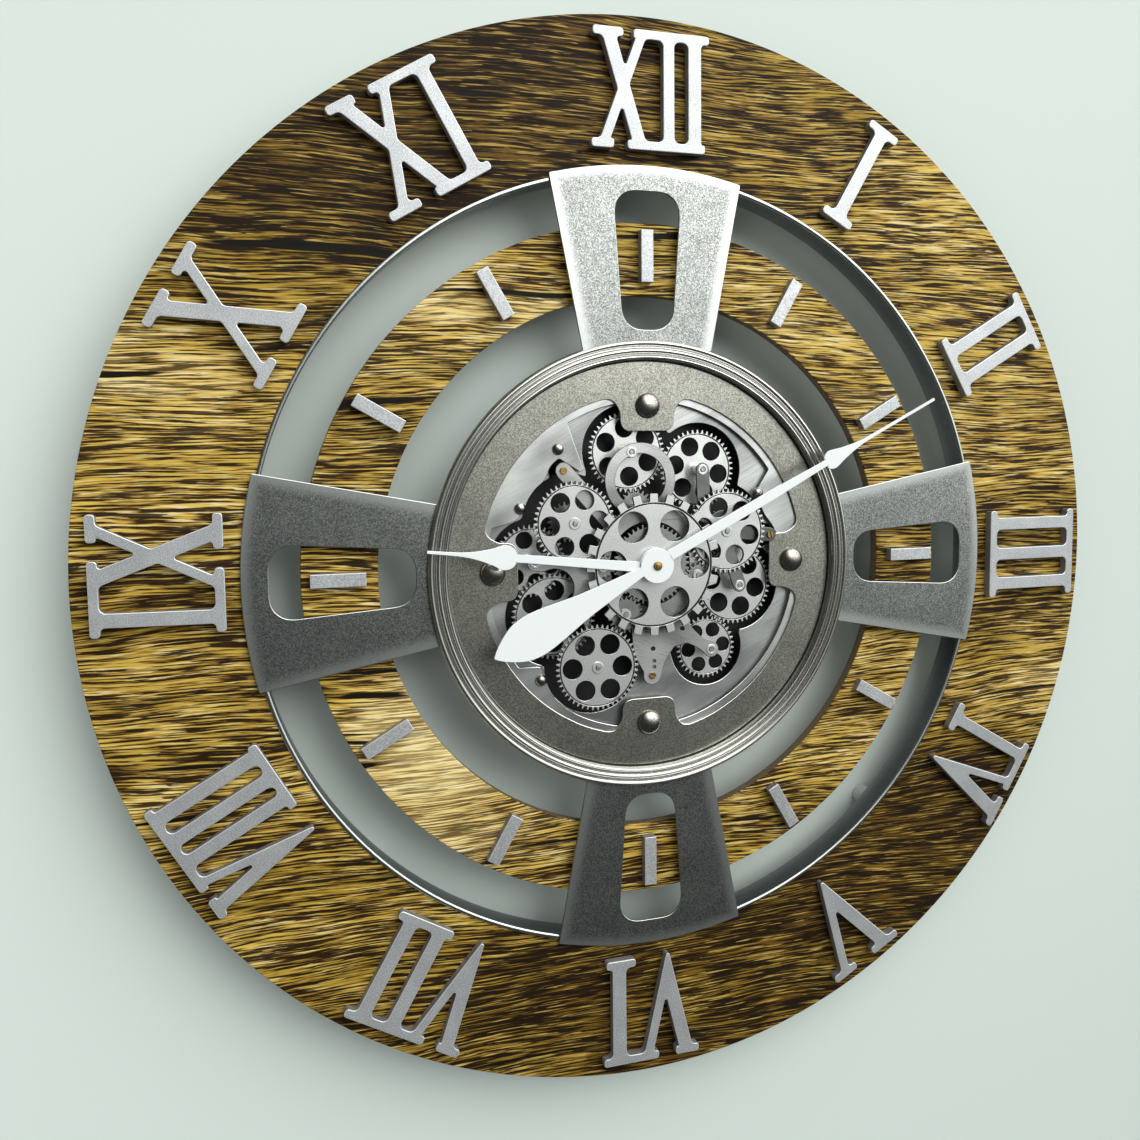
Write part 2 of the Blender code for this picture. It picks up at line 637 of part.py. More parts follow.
def make_pan():
    inner = PAN_R - PAN_WALL
    profile = [(0.0, PAN_BACK), (PAN_R, PAN_BACK), (PAN_R, LIP_TOP - PAN_WALL),
               (FLANGE_R, LIP_TOP - PAN_WALL), (FLANGE_R, LIP_TOP), (inner, LIP_TOP),
               (inner, PAN_FLOOR), (0.0, PAN_FLOOR)]
    pan = lathe("centre_pan", profile, PAN_SIDES, "pit")
    inside = PAN_FLOOR - PAN_WALL / 2
    studs = [stud_solid(spot, inside, shoulder, pin) for spot, shoulder, pin in stud_list()]
    for spot in (POST_LEFT, POST_RIGHT, POST_FOOT):
        studs.append(block("post", inside, TRAIN_BRIDGE - SEAT, circle(POST_R, DRUM_SIDES, spot)))
    paint(combine(pan, studs), "pit")
    holes = [through("bush_hole", PAN_BACK, PAN_FLOOR, circle(BUSH_R + 2 * RUN, BUSH_SIDES, AXIS)),
             through("shaft_hole", PAN_BACK, PAN_FLOOR,
                     circle(STUD_R + 2 * RUN, DRUM_SIDES, WHEELS["lower_right_wheel"]["at"]))]
    paint(combine(pan, holes, "DIFFERENCE"), "pit")
    smooth(pan)


def make_bezel():
    seat = LIP_TOP + SEAT
    over = BRIDGE_FACE + SEAT
    sixth = (BEZEL_R - BEZEL_IN_R) / 6
    beads = [(BEZEL_R - sixth * steps, over + BEZEL_H * height) for steps, height in BEZEL_BEADS]
    skirt = [(BEZEL_IN_R, seat), (BEZEL_SKIRT_R, seat), (BEZEL_SKIRT_R, over), (BEZEL_R, over)]
    lathe("bezel_ring", skirt + beads, PAN_SIDES, "bezel")


def lug_opening():
    """The lug ring's opening: a circle with four lugs that reach in, all corners rounded."""
    corners = []
    root = math.degrees(math.asin((LUG_HALF + LUG_FLARE) / OPENING_R))
    for k in range(4):
        base = 90.0 * k
        x = math.sqrt(OPENING_R ** 2 - (LUG_HALF + LUG_FLARE) ** 2)
        corners.append((base, x, -LUG_HALF - LUG_FLARE, LUG_ROUND))
        corners.append((base, x - LUG_FLARE * 2, -LUG_HALF, LUG_ROUND))
        corners.append((base, LUG_TIP_R, -LUG_HALF, LUG_ROUND))
        corners.append((base, LUG_TIP_R, LUG_HALF, LUG_ROUND))
        corners.append((base, x - LUG_FLARE * 2, LUG_HALF, LUG_ROUND))
        corners.append((base, x, LUG_HALF + LUG_FLARE, LUG_ROUND))
        for step in range(1, 6):
            a = root + (90.0 - 2 * root) * step / 6
            corners.append((base, *polar(OPENING_R, a), 0.0))
    placed = []
    for base, x, z, radius in corners:
        (px, pz), = turned([(x, z)], base)
        placed.append((px, pz, radius))
    return rounded(placed, 2)


def rivet_holes():
    return [circle(RIVET_SHANK_R + RUN, DRUM_SIDES, polar(RIVET_AT_R, 90.0 * k)) for k in range(4)]


def train_reach(degrees):
    """How far the black gap round the wheels reaches in this direction."""
    reach = 0.0
    a = math.radians(degrees)
    rounds = [(w["at"], w["tip"] + GEAR_GAP) for w in WHEELS.values() if w["shown"]]
    rounds += [(post, POST_R + GEAR_GAP) for post in (POST_LEFT, POST_RIGHT)]
    rounds.append((AXIS, CROWN_TIP_R))
    for (x, z), radius in rounds:
        along = x * math.cos(a) + z * math.sin(a)
        across = -x * math.sin(a) + z * math.cos(a)
        if abs(across) < radius:
            reach = max(reach, along + math.sqrt(radius ** 2 - across ** 2))
    near_rivet = min(abs(direction_gap(polar(1.0, degrees), 90.0 * k)) for k in range(4)) < RIVET_CLEAR
    return min(reach, RIVET_AT_R - RIVET_SHANK_R - RIM_AT_RIVET if near_rivet else LOW_PLATE_R)


def make_plates():
    outer = circle(PLATE_R, PAN_SIDES)
    solid = Solid("lug_ring")
    solid.prism(LUG_BACK, LUG_BACK + PLATE_T, outer, lug_opening(), *rivet_holes())
    smooth(solid.finish("pewter"))
    solid = Solid("middle_plate")
    solid.prism(MID_FACE - PLATE_T, MID_FACE, outer, middle_edge())
    smooth(solid.finish("plate"))
    edge = [polar(train_reach(EDGE_STEP * k), EDGE_STEP * k) for k in range(round(360 / EDGE_STEP))]
    solid = Solid("lower_plate")
    solid.prism(LOW_PLATE_FACE - PLATE_T, LOW_PLATE_FACE, outer, edge, *rivet_holes(),
                circle(POST_R + SEAT, DRUM_SIDES, POST_FOOT))
    smooth(solid.finish("plate"))


def middle_edge():
    """The middle plate's inner edge: round, but it reaches in to the wheels along three lobes."""
    edge = []
    for k in range(round(360 / EDGE_STEP)):
        a = EDGE_STEP * k
        inside = any(low <= a <= high for low, high in MID_LOBES)
        edge.append(polar(min(train_reach(a) + EDGE_SET, MID_OPENING_R) if inside else MID_OPENING_R, a))
    return edge


def direction_gap(point, degrees):
    angle = math.degrees(math.atan2(point[1], point[0])) - degrees
    return (angle + 180.0) % 360.0 - 180.0


def make_rivets():
    seat = LUG_BACK + PLATE_T + SEAT
    for k, name in enumerate(("rivet_3", "rivet_12", "rivet_9", "rivet_6")):
        shank = [(0.0, PAN_FLOOR + SEAT), (RIVET_SHANK_R, PAN_FLOOR + SEAT), (RIVET_SHANK_R, seat)]
        profile = shank + [(RIVET_R * out, seat + RIVET_H * up) for out, up in RIVET_DOME]
        lathe(name, profile, RIVET_SIDES, "rivet", polar(RIVET_AT_R, 90.0 * k))


# Gear train

def pitch_radius(teeth):
    return MODULE * teeth / 2


def tip_radius(teeth):
    return pitch_radius(teeth) + ADDENDUM * MODULE


def tooth_outline(teeth, phase, centre, flat_tips):
    """Teeth with sloping flanks; flat tips take two points and pointed ones take one."""
    tip = tip_radius(teeth)
    root = pitch_radius(teeth) - DEDENDUM * MODULE
    half = math.degrees(TIP_FLAT / 2 / tip) if flat_tips else 0.0
    loop = []
    for k in range(teeth):
        a = phase + 360.0 * k / teeth
        if flat_tips:
            loop.append(polar(tip, a - half, centre))
            loop.append(polar(tip, a + half, centre))
        else:
            loop.append(polar(tip, a, centre))
        loop.append(polar(root, a + 180.0 / teeth, centre))
    return loop


def meshed_phase(driver, driver_teeth, teeth, direction):
    """The phase that puts a tooth gap on the driver's tooth along the line of centres."""
    share = (direction - driver) * driver_teeth / 360.0 % 1.0
    return direction + 180.0 - (0.5 - share) * 360.0 / teeth


WHEEL_TEETH = {
    "centre_wheel": CENTRE_TEETH, "right_idler": 14, "left_idler": 14, "lower_idler": 20, "west_idler": 16,
    "upper_idler": 20, "right_wheel": 48, "upper_left_wheel": 46, "lower_left_wheel": 48, "left_wheel": 48,
    "top_wheel": 45, "upper_right_wheel": 45, "far_right_wheel": 47, "lower_right_wheel": 36,
    "far_left_wheel": 40,
}
PINION_TEETH = {"right_wheel": 21, "upper_left_wheel": 22}
# name: level, driver, direction from the driver in degrees, driven by the pinion, flat tips, shown in front
TRAIN = {
    "right_idler": ("front", "centre_wheel", -15.0, False, False, False),
    "left_idler": ("front", "centre_wheel", 180.5, False, False, False),
    "lower_idler": ("front", "centre_wheel", 239.9, False, False, False),
    "west_idler": ("deep", "centre_wheel", 207.2, False, False, False),
    "upper_idler": ("deep", "centre_wheel", 99.6, False, False, False),
    "right_wheel": ("front", "right_idler", 53.8, False, True, True),
    "upper_left_wheel": ("front", "left_idler", 123.4, False, True, True),
    "lower_left_wheel": ("front", "lower_idler", 239.9, False, True, True),
    "left_wheel": ("deep", "west_idler", 207.2, False, False, True),
    "top_wheel": ("deep", "upper_idler", 99.6, False, False, True),
    "upper_right_wheel": ("deep", "top_wheel", -13.6, False, False, True),
    "far_right_wheel": ("deep", "right_wheel", -73.2, True, False, True),
    "lower_right_wheel": ("deep", "far_right_wheel", 243.9, False, False, True),
    "far_left_wheel": ("low", "upper_left_wheel", 223.9, True, False, True),
}
# The level of the pinion behind a front wheel
PINIONS = {"right_wheel": "deep", "upper_left_wheel": "low"}
LEVEL = {"front": FRONT, "deep": DEEP, "low": LOW}


def lay_out_train():
    """Each wheel's place, phase and size, worked out from its mesh with its driver."""
    wheels = {"centre_wheel": {"at": AXIS, "phase": 0.0, "teeth": CENTRE_TEETH,
                               "tip": tip_radius(CENTRE_TEETH), "shown": False}}
    for name, (level, driver, direction, by_pinion, flat, shown) in TRAIN.items():
        source = wheels[driver]
        teeth = WHEEL_TEETH[name]
        driver_teeth = PINION_TEETH[driver] if by_pinion else WHEEL_TEETH[driver]
        reach = pitch_radius(driver_teeth) + pitch_radius(teeth)
        driver_phase = 0.0 if by_pinion else source["phase"]
        wheels[name] = {
            "at": polar(reach, direction, source["at"]),
            "phase": meshed_phase(driver_phase, driver_teeth, teeth, direction),
            "teeth": teeth, "tip": tip_radius(teeth), "level": level, "flat": flat, "shown": shown}
    return wheels


WHEELS = lay_out_train()


def web_holes(teeth, centre, start, sides=8):
    radius = pitch_radius(teeth)
    return [circle(HOLE_R * radius, sides, polar(HOLE_AT * radius, start + 60.0 * k, centre)) for k in range(6)]


def make_wheel(name):
    wheel = WHEELS[name]
    centre = wheel["at"]
    teeth = wheel["teeth"]
    back = LEVEL[wheel["level"]]
    front = back + WHEEL_T
    outline = tooth_outline(teeth, wheel["phase"], centre, wheel["flat"])
    bore = circle(STUD_R + RUN, DRUM_SIDES, centre)
    solid = Solid(name)
    big = wheel["shown"]
    holes = web_holes(teeth, centre, wheel["phase"]) if big else []
    hub = circle(BOSS_R, DRUM_SIDES, centre)
    sleeve = circle(SLEEVE_R, DRUM_SIDES, centre)
    top = front + BOSS_H
    if wheel["level"] != "front":
        top = TRAIN_BRIDGE - SEAT
    bottom = back
    # The face in front, with its hub
    solid.cap(front, outline, hub, *holes)
    solid.wall(hub, front, top)
    solid.cap(top, hub, bore)
    solid.wall(outline, back, front)
    for hole in holes:
        solid.wall(hole, back, front)
    if name in PINIONS:
        bottom = LEVEL[PINIONS[name]]
        pinion = tooth_outline(PINION_TEETH[name], 0.0, centre, False)
        solid.cap(back, outline, sleeve, *holes)
        solid.wall(sleeve, bottom + WHEEL_T, back)
        solid.cap(bottom + WHEEL_T, pinion, sleeve)
        solid.wall(pinion, bottom, bottom + WHEEL_T)
        solid.cap(bottom, pinion, bore)
    else:
        solid.cap(back, outline, bore, *holes)
    solid.wall(bore, bottom, top)
    smooth(solid.finish("gear"))


def make_driven_wheel(name):
    """The wheel on the motor's shaft: its arbor turns with it and runs through the pan's floor."""
    wheel = WHEELS[name]
    centre = wheel["at"]
    back = LEVEL[wheel["level"]]
    front = back + WHEEL_T
    outline = tooth_outline(wheel["teeth"], wheel["phase"], centre, wheel["flat"])
    holes = web_holes(wheel["teeth"], centre, wheel["phase"])
    arbor = circle(STUD_R, DRUM_SIDES, centre)
    hub = circle(BOSS_R, DRUM_SIDES, centre)
    top = TRAIN_BRIDGE - SEAT
    end = TRAIN_BRIDGE + TRAIN_BRIDGE_T + STUD_OUT
    foot = PAN_BACK - MOTOR_T / 2
    solid = Solid(name)
    solid.cap(foot, arbor)
    solid.wall(arbor, foot, back)
    solid.cap(back, outline, arbor, *holes)
    solid.wall(outline, back, front)
    for hole in holes:
        solid.wall(hole, back, front)
    solid.cap(front, outline, hub, *holes)
    solid.wall(hub, front, top)
    solid.cap(top, hub, arbor)
    solid.wall(arbor, top, end)
    solid.cap(end, arbor)
    smooth(solid.finish("gear"))


def make_centre_wheel():
    """The long wheel in the middle, which drives the idlers at both heights."""
    outline = tooth_outline(CENTRE_TEETH, 0.0, AXIS, False)
    bore = circle(BUSH_R + RUN, BUSH_SIDES, AXIS)
    radius = pitch_radius(CENTRE_TEETH)
    holes = [circle(CENTRE_HOLE_R * radius, DRUM_SIDES, polar(HOLE_AT * radius, 60.0 * k + 30.0, AXIS))
             for k in range(6)]
    hub = circle(BOSS_R * 2, BUSH_SIDES, AXIS)
    solid = Solid("centre_wheel")
    front = FRONT + WHEEL_T
    top = CROWN - SEAT
    solid.cap(DEEP, outline, bore, *holes)
    solid.cap(front, outline, hub, *holes)
    solid.wall(outline, DEEP, front)
    for hole in holes:
        solid.wall(hole, DEEP, front)
    solid.wall(hub, front, top)
    solid.cap(top, hub, bore)
    solid.wall(bore, DEEP, top)
    smooth(solid.finish("gear"))


def make_crown_wheel():
    """The castellated wheel in front of the train."""
    half = CROWN_TOOTH * 180.0 / CROWN_TEETH
    outline = []
    for k in range(CROWN_TEETH):
        a = 360.0 * k / CROWN_TEETH
        outline.append(polar(CROWN_ROOT_R, a - half * CROWN_FLARE, AXIS))
        outline.append(polar(CROWN_TIP_R, a - half, AXIS))
        outline.append(polar(CROWN_TIP_R, a + half, AXIS))
        outline.append(polar(CROWN_ROOT_R, a + half * CROWN_FLARE, AXIS))
    holes = [circle(CROWN_HOLE_R, RIVET_SIDES, polar(CROWN_HOLE_AT, 60.0 * k, AXIS)) for k in range(6)]
    solid = Solid("crown_wheel")
    solid.prism(CROWN, CROWN + WHEEL_T, outline, circle(BUSH_R + RUN, BUSH_SIDES, AXIS), *holes)
    smooth(solid.finish("gear"))


def stud_list():
    """Fixed studs on the pan's floor: place, height of the shoulder and height of the pin."""
    studs = []
    for name, wheel in WHEELS.items():
        if name in ("centre_wheel", "lower_right_wheel", "right_idler", "left_idler", "lower_idler"):
            continue
        level = PINIONS.get(name, wheel["level"])
        if wheel["level"] == "front":
            pin = FRONT + WHEEL_T + BOSS_H + STUD_OUT
        elif wheel["shown"]:
            pin = TRAIN_BRIDGE + TRAIN_BRIDGE_T + STUD_OUT
        else:
            pin = TRAIN_BRIDGE - 2 * SEAT
        studs.append((wheel["at"], LEVEL[level] - SEAT, pin))
    return studs


# Bridges of the train

def train_block(loop):
    return block("arm", TRAIN_BRIDGE, TRAIN_BRIDGE + TRAIN_BRIDGE_T, loop)


def train_cutter(loop, extra=0.0):
    return through("opening", TRAIN_BRIDGE - extra, TRAIN_BRIDGE + TRAIN_BRIDGE_T + extra, loop)


def pin_holes(names):
    return [train_cutter(circle(STUD_R + RUN, DRUM_SIDES, WHEELS[name]["at"])) for name in names]


def beside(point, offset):
    return (point[0] + offset[0], point[1] + offset[1])


def make_centre_bridge():
    """The collar round the centre wheel, with its arms and the crescent over the top wheel."""
    bore = circle(tip_radius(CENTRE_TEETH) + AXIAL, COLLAR_SIDES, AXIS)
    collar = Solid("centre_bridge")
    collar.prism(TRAIN_BRIDGE, TRAIN_BRIDGE + TRAIN_BRIDGE_T, circle(COLLAR_R, COLLAR_SIDES, AXIS), bore)
    bridge = collar.finish("plate")
    far = WHEELS["far_left_wheel"]["at"]
    left = WHEELS["left_wheel"]["at"]
    top = WHEELS["top_wheel"]["at"]
    middle = (COLLAR_R + tip_radius(CENTRE_TEETH)) / 2
    web_top, web_foot = WEB_DEGREES
    arms = [train_block(circle(CRESCENT_R, COLLAR_SIDES, CRESCENT_AT)),
            train_block(capsule(top, CRESCENT_AT, ARM_HALF)),
            train_block([polar(middle, web_top, AXIS), beside(far, WEB_FAR), beside(left, WEB_LEFT),
                         polar(middle, web_foot, AXIS)])]
    for degrees, end in zip(ARM_DEGREES, (POST_LEFT, far, left)):
        arms.append(train_block(capsule(polar(middle, degrees, AXIS), end, ARM_HALF)))
    combine(bridge, arms)
    # The cutters end at different depths, so that no two of their faces lie in one plane
    cutters = [*pin_holes(["far_left_wheel", "left_wheel", "top_wheel"]),
               train_cutter(circle(CRESCENT_BORE, LOOP_SIDES, CRESCENT_AT), 1 * CUT_OVER),
               train_cutter(bore, 2 * CUT_OVER),
               train_cutter(circle(SCOOP_R, LOOP_SIDES, beside(left, SCOOP_AT)), 3 * CUT_OVER)]
    combine(bridge, cutters, "DIFFERENCE")
    pins = []
    inside = TRAIN_BRIDGE + TRAIN_BRIDGE_T / 2
    for name in ("right_idler", "left_idler", "lower_idler"):
        pins.append(stud_solid(WHEELS[name]["at"], inside, FRONT - SEAT, FRONT + WHEEL_T + BOSS_H + STUD_OUT))
    paint(combine(bridge, pins), "plate")
    smooth(bridge)


def make_right_bridge():
    """The three-armed bridge behind the right wheel."""
    hub = WHEELS["right_wheel"]["at"]
    upper = WHEELS["upper_right_wheel"]["at"]
    lower = WHEELS["far_right_wheel"]["at"]
    body = Solid("right_bridge")
    body.prism(TRAIN_BRIDGE, TRAIN_BRIDGE + TRAIN_BRIDGE_T, circle(HUB_DISC * ARM_HALF, COLLAR_SIDES, hub))
    bridge = body.finish("plate")
    knee = (upper[0] + KNEE[0], hub[1] + KNEE[1])
    arms = [train_block(capsule(upper, knee, ARM_THIN)),
            train_block(capsule(lower, beside(hub, LOWER_ROOT), ARM_THIN)),
            train_block(capsule(hub, POST_RIGHT, ARM_THIN))]
    combine(bridge, arms)
    clear = train_cutter(circle(SLEEVE_R + RUN + SEAT, BUSH_SIDES, hub))
    combine(bridge, [clear, *pin_holes(["upper_right_wheel", "far_right_wheel"])], "DIFFERENCE")
    paint(bridge, "plate")
    smooth(bridge)


def make_lower_bridge():
    """The large bridge below the crowned wheel, with a curved arm to the motor's wheel."""
    pivot = WHEELS["lower_right_wheel"]["at"]
    rim = arc(COLLAR_R + SEAT, *LOWER_RIM, 6, AXIS)
    foot = arc(LOWER_FOOT_R, -20.0, -200.0, 6, POST_FOOT)
    arm_end = arc(ARM_HALF, 60.0, -120.0, 6, pivot)
    corners = (rim + [beside(pivot, offset) for offset in LOWER_TOP] + arm_end
               + [beside(pivot, offset) for offset in LOWER_EDGE] + [beside(POST_FOOT, LOWER_RIGHT)]
               + foot + [beside(POST_FOOT, LOWER_LEFT)])
    body = Solid("lower_bridge")
    body.prism(TRAIN_BRIDGE, TRAIN_BRIDGE + TRAIN_BRIDGE_T, corners,
               circle(STUD_R + RUN, DRUM_SIDES, pivot))
    smooth(body.finish("plate"))


# Hands

def hand_direction(clock_degrees):
    return 90.0 - clock_degrees


def make_hour_hand():
    """The hour hand with its pipe, which turns in the movement's bush."""
    angle = hand_direction((TIME_HOUR + TIME_MINUTES / 60.0) * 30.0 + HOUR_LEAD)
    side = [(HOUR_L * along, HOUR_HALF * across) for along, across in HOUR_SIDE]
    make_hand("hour_hand", angle, side, [], HOUR, PIPE_R, PIPE_BORE)


def make_minute_hand():
    """The minute hand with its leaf-shaped counterweight and its arbor."""
    angle = hand_direction(TIME_MINUTES * 6.0)
    side = [(MINUTE_L * along, MINUTE_HALF * across) for along, across in MINUTE_SIDE]
    tail = [(-TAIL_L * along, TAIL_HALF * across) for along, across in TAIL_SIDE]
    make_hand("minute_hand", angle, side, tail, MINUTE, ARBOR_R, 0.0)


def make_hand(name, angle, side, tail, back, pipe_r, bore_r):
    start = math.degrees(math.asin(side[0][1] / HUB_R))
    upper = side[1:]
    lower = [(x, -y) for x, y in reversed(side[1:])]
    if tail:
        end = 180.0 - math.degrees(math.asin(tail[0][1] / HUB_R))
        hub_up = arc(HUB_R, end, start, 4)
        hub_down = arc(HUB_R, -start, -end, 4)
        back_side = [(x, -y) for x, y in tail[1:]] + tail[:0:-1]
    else:
        hub_up = arc(HUB_R, 180.0, start, 7)
        hub_down = arc(HUB_R, -start, -180.0, 7)[:-1]
        back_side = []
    loop = turned(hub_up + upper + lower + hub_down + back_side, angle, AXIS)
    pipe = circle(pipe_r, RIVET_SIDES, AXIS)
    foot = FRONT
    front = back + HAND_T
    solid = Solid(name)
    solid.wall(loop, back, front)
    solid.cap(back, loop, pipe)
    solid.wall(pipe, foot, back)
    if bore_r:
        bore = circle(bore_r, RIVET_SIDES, AXIS)
        solid.cap(front, loop, bore)
        solid.cap(foot, pipe, bore)
        solid.wall(bore, foot, front)
    else:
        solid.cap(front, loop)
        solid.cap(foot, pipe)
    smooth(solid.finish("hand"))


def make_hand_nut():
    back = MINUTE + HAND_T + SEAT
    profile = [(0.0, back)] + [(NUT_R * out, back + NUT_H * up) for out, up in NUT_SHAPE]
    lathe("hand_nut", profile, RIVET_SIDES, "brass", AXIS)


# Back of the clock

def make_movement():
    """The quartz movement: a flat case with a threaded bush that carries the centre wheel and the hands."""
    half = MOVEMENT_SIDE / 2
    case = case_outline(half, half, MOVEMENT_ROUND, AXIS)
    bush = circle(BUSH_R, BUSH_SIDES, AXIS)
    bore = circle(BUSH_BORE, BUSH_SIDES, AXIS)
    front = PAN_BACK - SEAT
    back = front - MOVEMENT_T
    top = CROWN + WHEEL_T + AXIAL
    knob_pin = circle(KNOB_PIN_R, DRUM_SIDES, KNOB_AT)
    solid = Solid("quartz_movement")
    solid.cap(back, case, knob_pin)
    solid.wall(knob_pin, back - KNOB_T, back)
    solid.cap(back - KNOB_T, knob_pin)
    solid.wall(case, back, front)
    solid.cap(front, case, bush)
    solid.wall(bush, front, top)
    solid.cap(front, bore)
    solid.wall(bore, front, top)
    solid.cap(top, bush, bore)
    smooth(solid.finish("plastic"))


def make_setting_knob():
    back = PAN_BACK - SEAT - MOVEMENT_T - SEAT - KNOB_T
    outline = []
    for k in range(12):
        a = 30.0 * k
        outline.append(polar(KNOB_R, a, KNOB_AT))
        outline.append(polar(KNOB_R * KNOB_FLUTE, a + 15.0, KNOB_AT))
    solid = Solid("setting_knob")
    solid.prism(back, back + KNOB_T, outline, circle(KNOB_PIN_R + RUN, DRUM_SIDES, KNOB_AT))
    solid.finish("plastic")


def make_motor():
    half = MOTOR_SIDE / 2
    shaft = WHEELS["lower_right_wheel"]["at"]
    case = case_outline(half, half, MOTOR_ROUND, shaft)
    hole = circle(STUD_R + RUN, DRUM_SIDES, shaft)
    front = PAN_BACK - SEAT
    depth = PAN_BACK - MOTOR_T / 2 - SHAFT_END
    solid = Solid("gear_motor")
    solid.cap(front - MOTOR_T, case)
    solid.wall(case, front - MOTOR_T, front)
    solid.cap(front, case, hole)
    solid.wall(hole, depth, front)
    solid.cap(depth, hole)
    smooth(solid.finish("plastic"))


def make_battery_box():
    case = case_outline(BATTERY_W / 2, BATTERY_H / 2, MOTOR_ROUND, BATTERY_AT)
    front = PAN_BACK - SEAT
    solid = Solid("battery_box")
    solid.prism(front - BATTERY_T, front, case)
    smooth(solid.finish("plastic"))


def make_hanger():
    """A bent strap behind the wooden ring: one end sits behind the top tab, the other lies on the wall."""
    front = RING_BACK - SEAT - TAB_T - SEAT
    low = HOOP_R + HANGER_CLEAR
    bend = HOOP_R + TAB_L - SEAT
    high = bend + HANGER_H
    profile = [(low, front), (bend, front), (bend, HANGER_T), (high, HANGER_T), (high, 0.0),
               (bend - HANGER_T, 0.0), (bend - HANGER_T, front - HANGER_T), (low, front - HANGER_T)]
    half = HANGER_W / 2
    solid = Solid("wall_hanger")
    solid.strip(profile, -half, half)
    hanger = solid.finish("steel")
    eye = (0.0, bend + HANGER_H * EYE_UP)
    slot_top = (0.0, eye[1] + KEYHOLE_L)
    cutters = [through("eye", 0.0, HANGER_T, circle(KEYHOLE_R, BUSH_SIDES, eye)),
               through("slot", -CUT_OVER, HANGER_T + CUT_OVER, capsule(eye, slot_top, KEYHOLE_SLOT, 4))]
    paint(combine(hanger, cutters, "DIFFERENCE"), "steel")


def make_spacers():
    """Two feet behind the lower tabs, which hold the clock parallel to the wall."""
    front = RING_BACK - SEAT - TAB_T - SEAT
    for name, degrees in (("spacer_left", 225.0), ("spacer_right", 315.0)):
        solid = Solid(name)
        solid.prism(0.0, front, circle(FOOT_R, LOOP_SIDES, polar(HOOP_R + TAB_L / 2, degrees)))
        smooth(solid.finish("rubber"))


def main():
    clear_scene()
    make_outer_ring()
    make_inner_ring()
    make_numerals()
    make_hoop()
    for name, degrees in (("bridge_3", 0.0), ("bridge_12", 90.0), ("bridge_9", 180.0), ("bridge_6", 270.0)):
        make_bridge(name, degrees)
    make_pan()
    make_bezel()
    make_plates()
    make_rivets()
    for name in TRAIN:
        if name == "lower_right_wheel":
            make_driven_wheel(name)
        else:
            make_wheel(name)
    make_centre_wheel()
    make_crown_wheel()
    make_centre_bridge()
    make_right_bridge()
    make_lower_bridge()
    make_hour_hand()
    make_minute_hand()
    make_hand_nut()
    make_movement()
    make_setting_knob()
    make_motor()
    make_battery_box()
    make_hanger()
    make_spacers()


main()
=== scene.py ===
import math

import bpy
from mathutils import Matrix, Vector


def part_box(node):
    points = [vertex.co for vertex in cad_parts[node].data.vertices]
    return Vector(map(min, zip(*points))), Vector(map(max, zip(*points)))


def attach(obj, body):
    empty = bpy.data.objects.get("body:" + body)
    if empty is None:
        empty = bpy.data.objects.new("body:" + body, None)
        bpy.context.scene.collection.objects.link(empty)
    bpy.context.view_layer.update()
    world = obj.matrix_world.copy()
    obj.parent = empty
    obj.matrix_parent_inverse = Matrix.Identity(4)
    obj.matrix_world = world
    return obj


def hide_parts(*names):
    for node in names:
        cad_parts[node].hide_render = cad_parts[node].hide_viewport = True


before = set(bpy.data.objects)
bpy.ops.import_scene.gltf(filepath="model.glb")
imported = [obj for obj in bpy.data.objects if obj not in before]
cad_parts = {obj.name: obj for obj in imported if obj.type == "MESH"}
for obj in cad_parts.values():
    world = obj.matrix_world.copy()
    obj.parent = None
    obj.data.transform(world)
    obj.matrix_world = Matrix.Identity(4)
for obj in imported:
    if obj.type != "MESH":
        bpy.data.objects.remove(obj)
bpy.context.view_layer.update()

# Room and camera
# The clock hangs on a pale wall in a room that is bright above at the right. A large soft window gives most
# of the light, and a weaker one at the left fills the shadows. The viewer is close, left of the middle.

bpy.context.scene.view_settings.view_transform = "Standard"
MM = 0.001
RENDER_PX = 1140.0
FOCAL_PX = 1031.4
PRINCIPAL_DROP_PX = -29.2
SENSOR_MM = 36.0
VIEWER_AT = (-0.28223, -0.76838, 0.08699)
VIEWER_TURN = (85.0495, 0.7007, -16.9731)
UPRIGHT = (math.radians(90.0), 0.0, 0.0)
BRIGHT_SIDE = (0.5, -0.556, 0.667)
ROOM_COLOUR = (0.62, 0.7, 0.66, 1.0)
WALL_COLOUR = (0.72, 0.79, 0.75, 1.0)
WALL_SIZE = 12.0
WALL_BEHIND = 0.0005

bpy.ops.object.camera_add(location=VIEWER_AT, rotation=tuple(math.radians(turn) for turn in VIEWER_TURN))
camera = bpy.context.object
camera.name = "viewer"
camera.data.sensor_width = SENSOR_MM
camera.data.lens = SENSOR_MM * FOCAL_PX / RENDER_PX
camera.data.shift_y = PRINCIPAL_DROP_PX / RENDER_PX
camera.data.clip_start = 0.01
bpy.context.scene.camera = camera


def soft_box(name, place, size, watts, tint):
    """A large square lamp that is aimed at the middle of the clock."""
    bpy.ops.object.light_add(type="AREA", location=place)
    box = bpy.context.object
    box.name = name
    box.rotation_euler = (-Vector(place)).to_track_quat("-Z", "Y").to_euler()
    box.data.size = size
    box.data.energy = watts
    box.data.color = tint
    return box


soft_box("window", (0.9, -1.8, 1.3), 2.0, 20.0, (1.0, 0.995, 0.98))
room_bounce = soft_box("room_bounce", (-1.6, -1.5, 0.1), 1.8, 12.5, (0.97, 1.0, 0.98))
room_bounce.visible_glossy = False


def new_material(name):
    material = bpy.data.materials.new(name)
    material.use_nodes = True
    return material, material.node_tree, material.node_tree.nodes["Principled BSDF"]


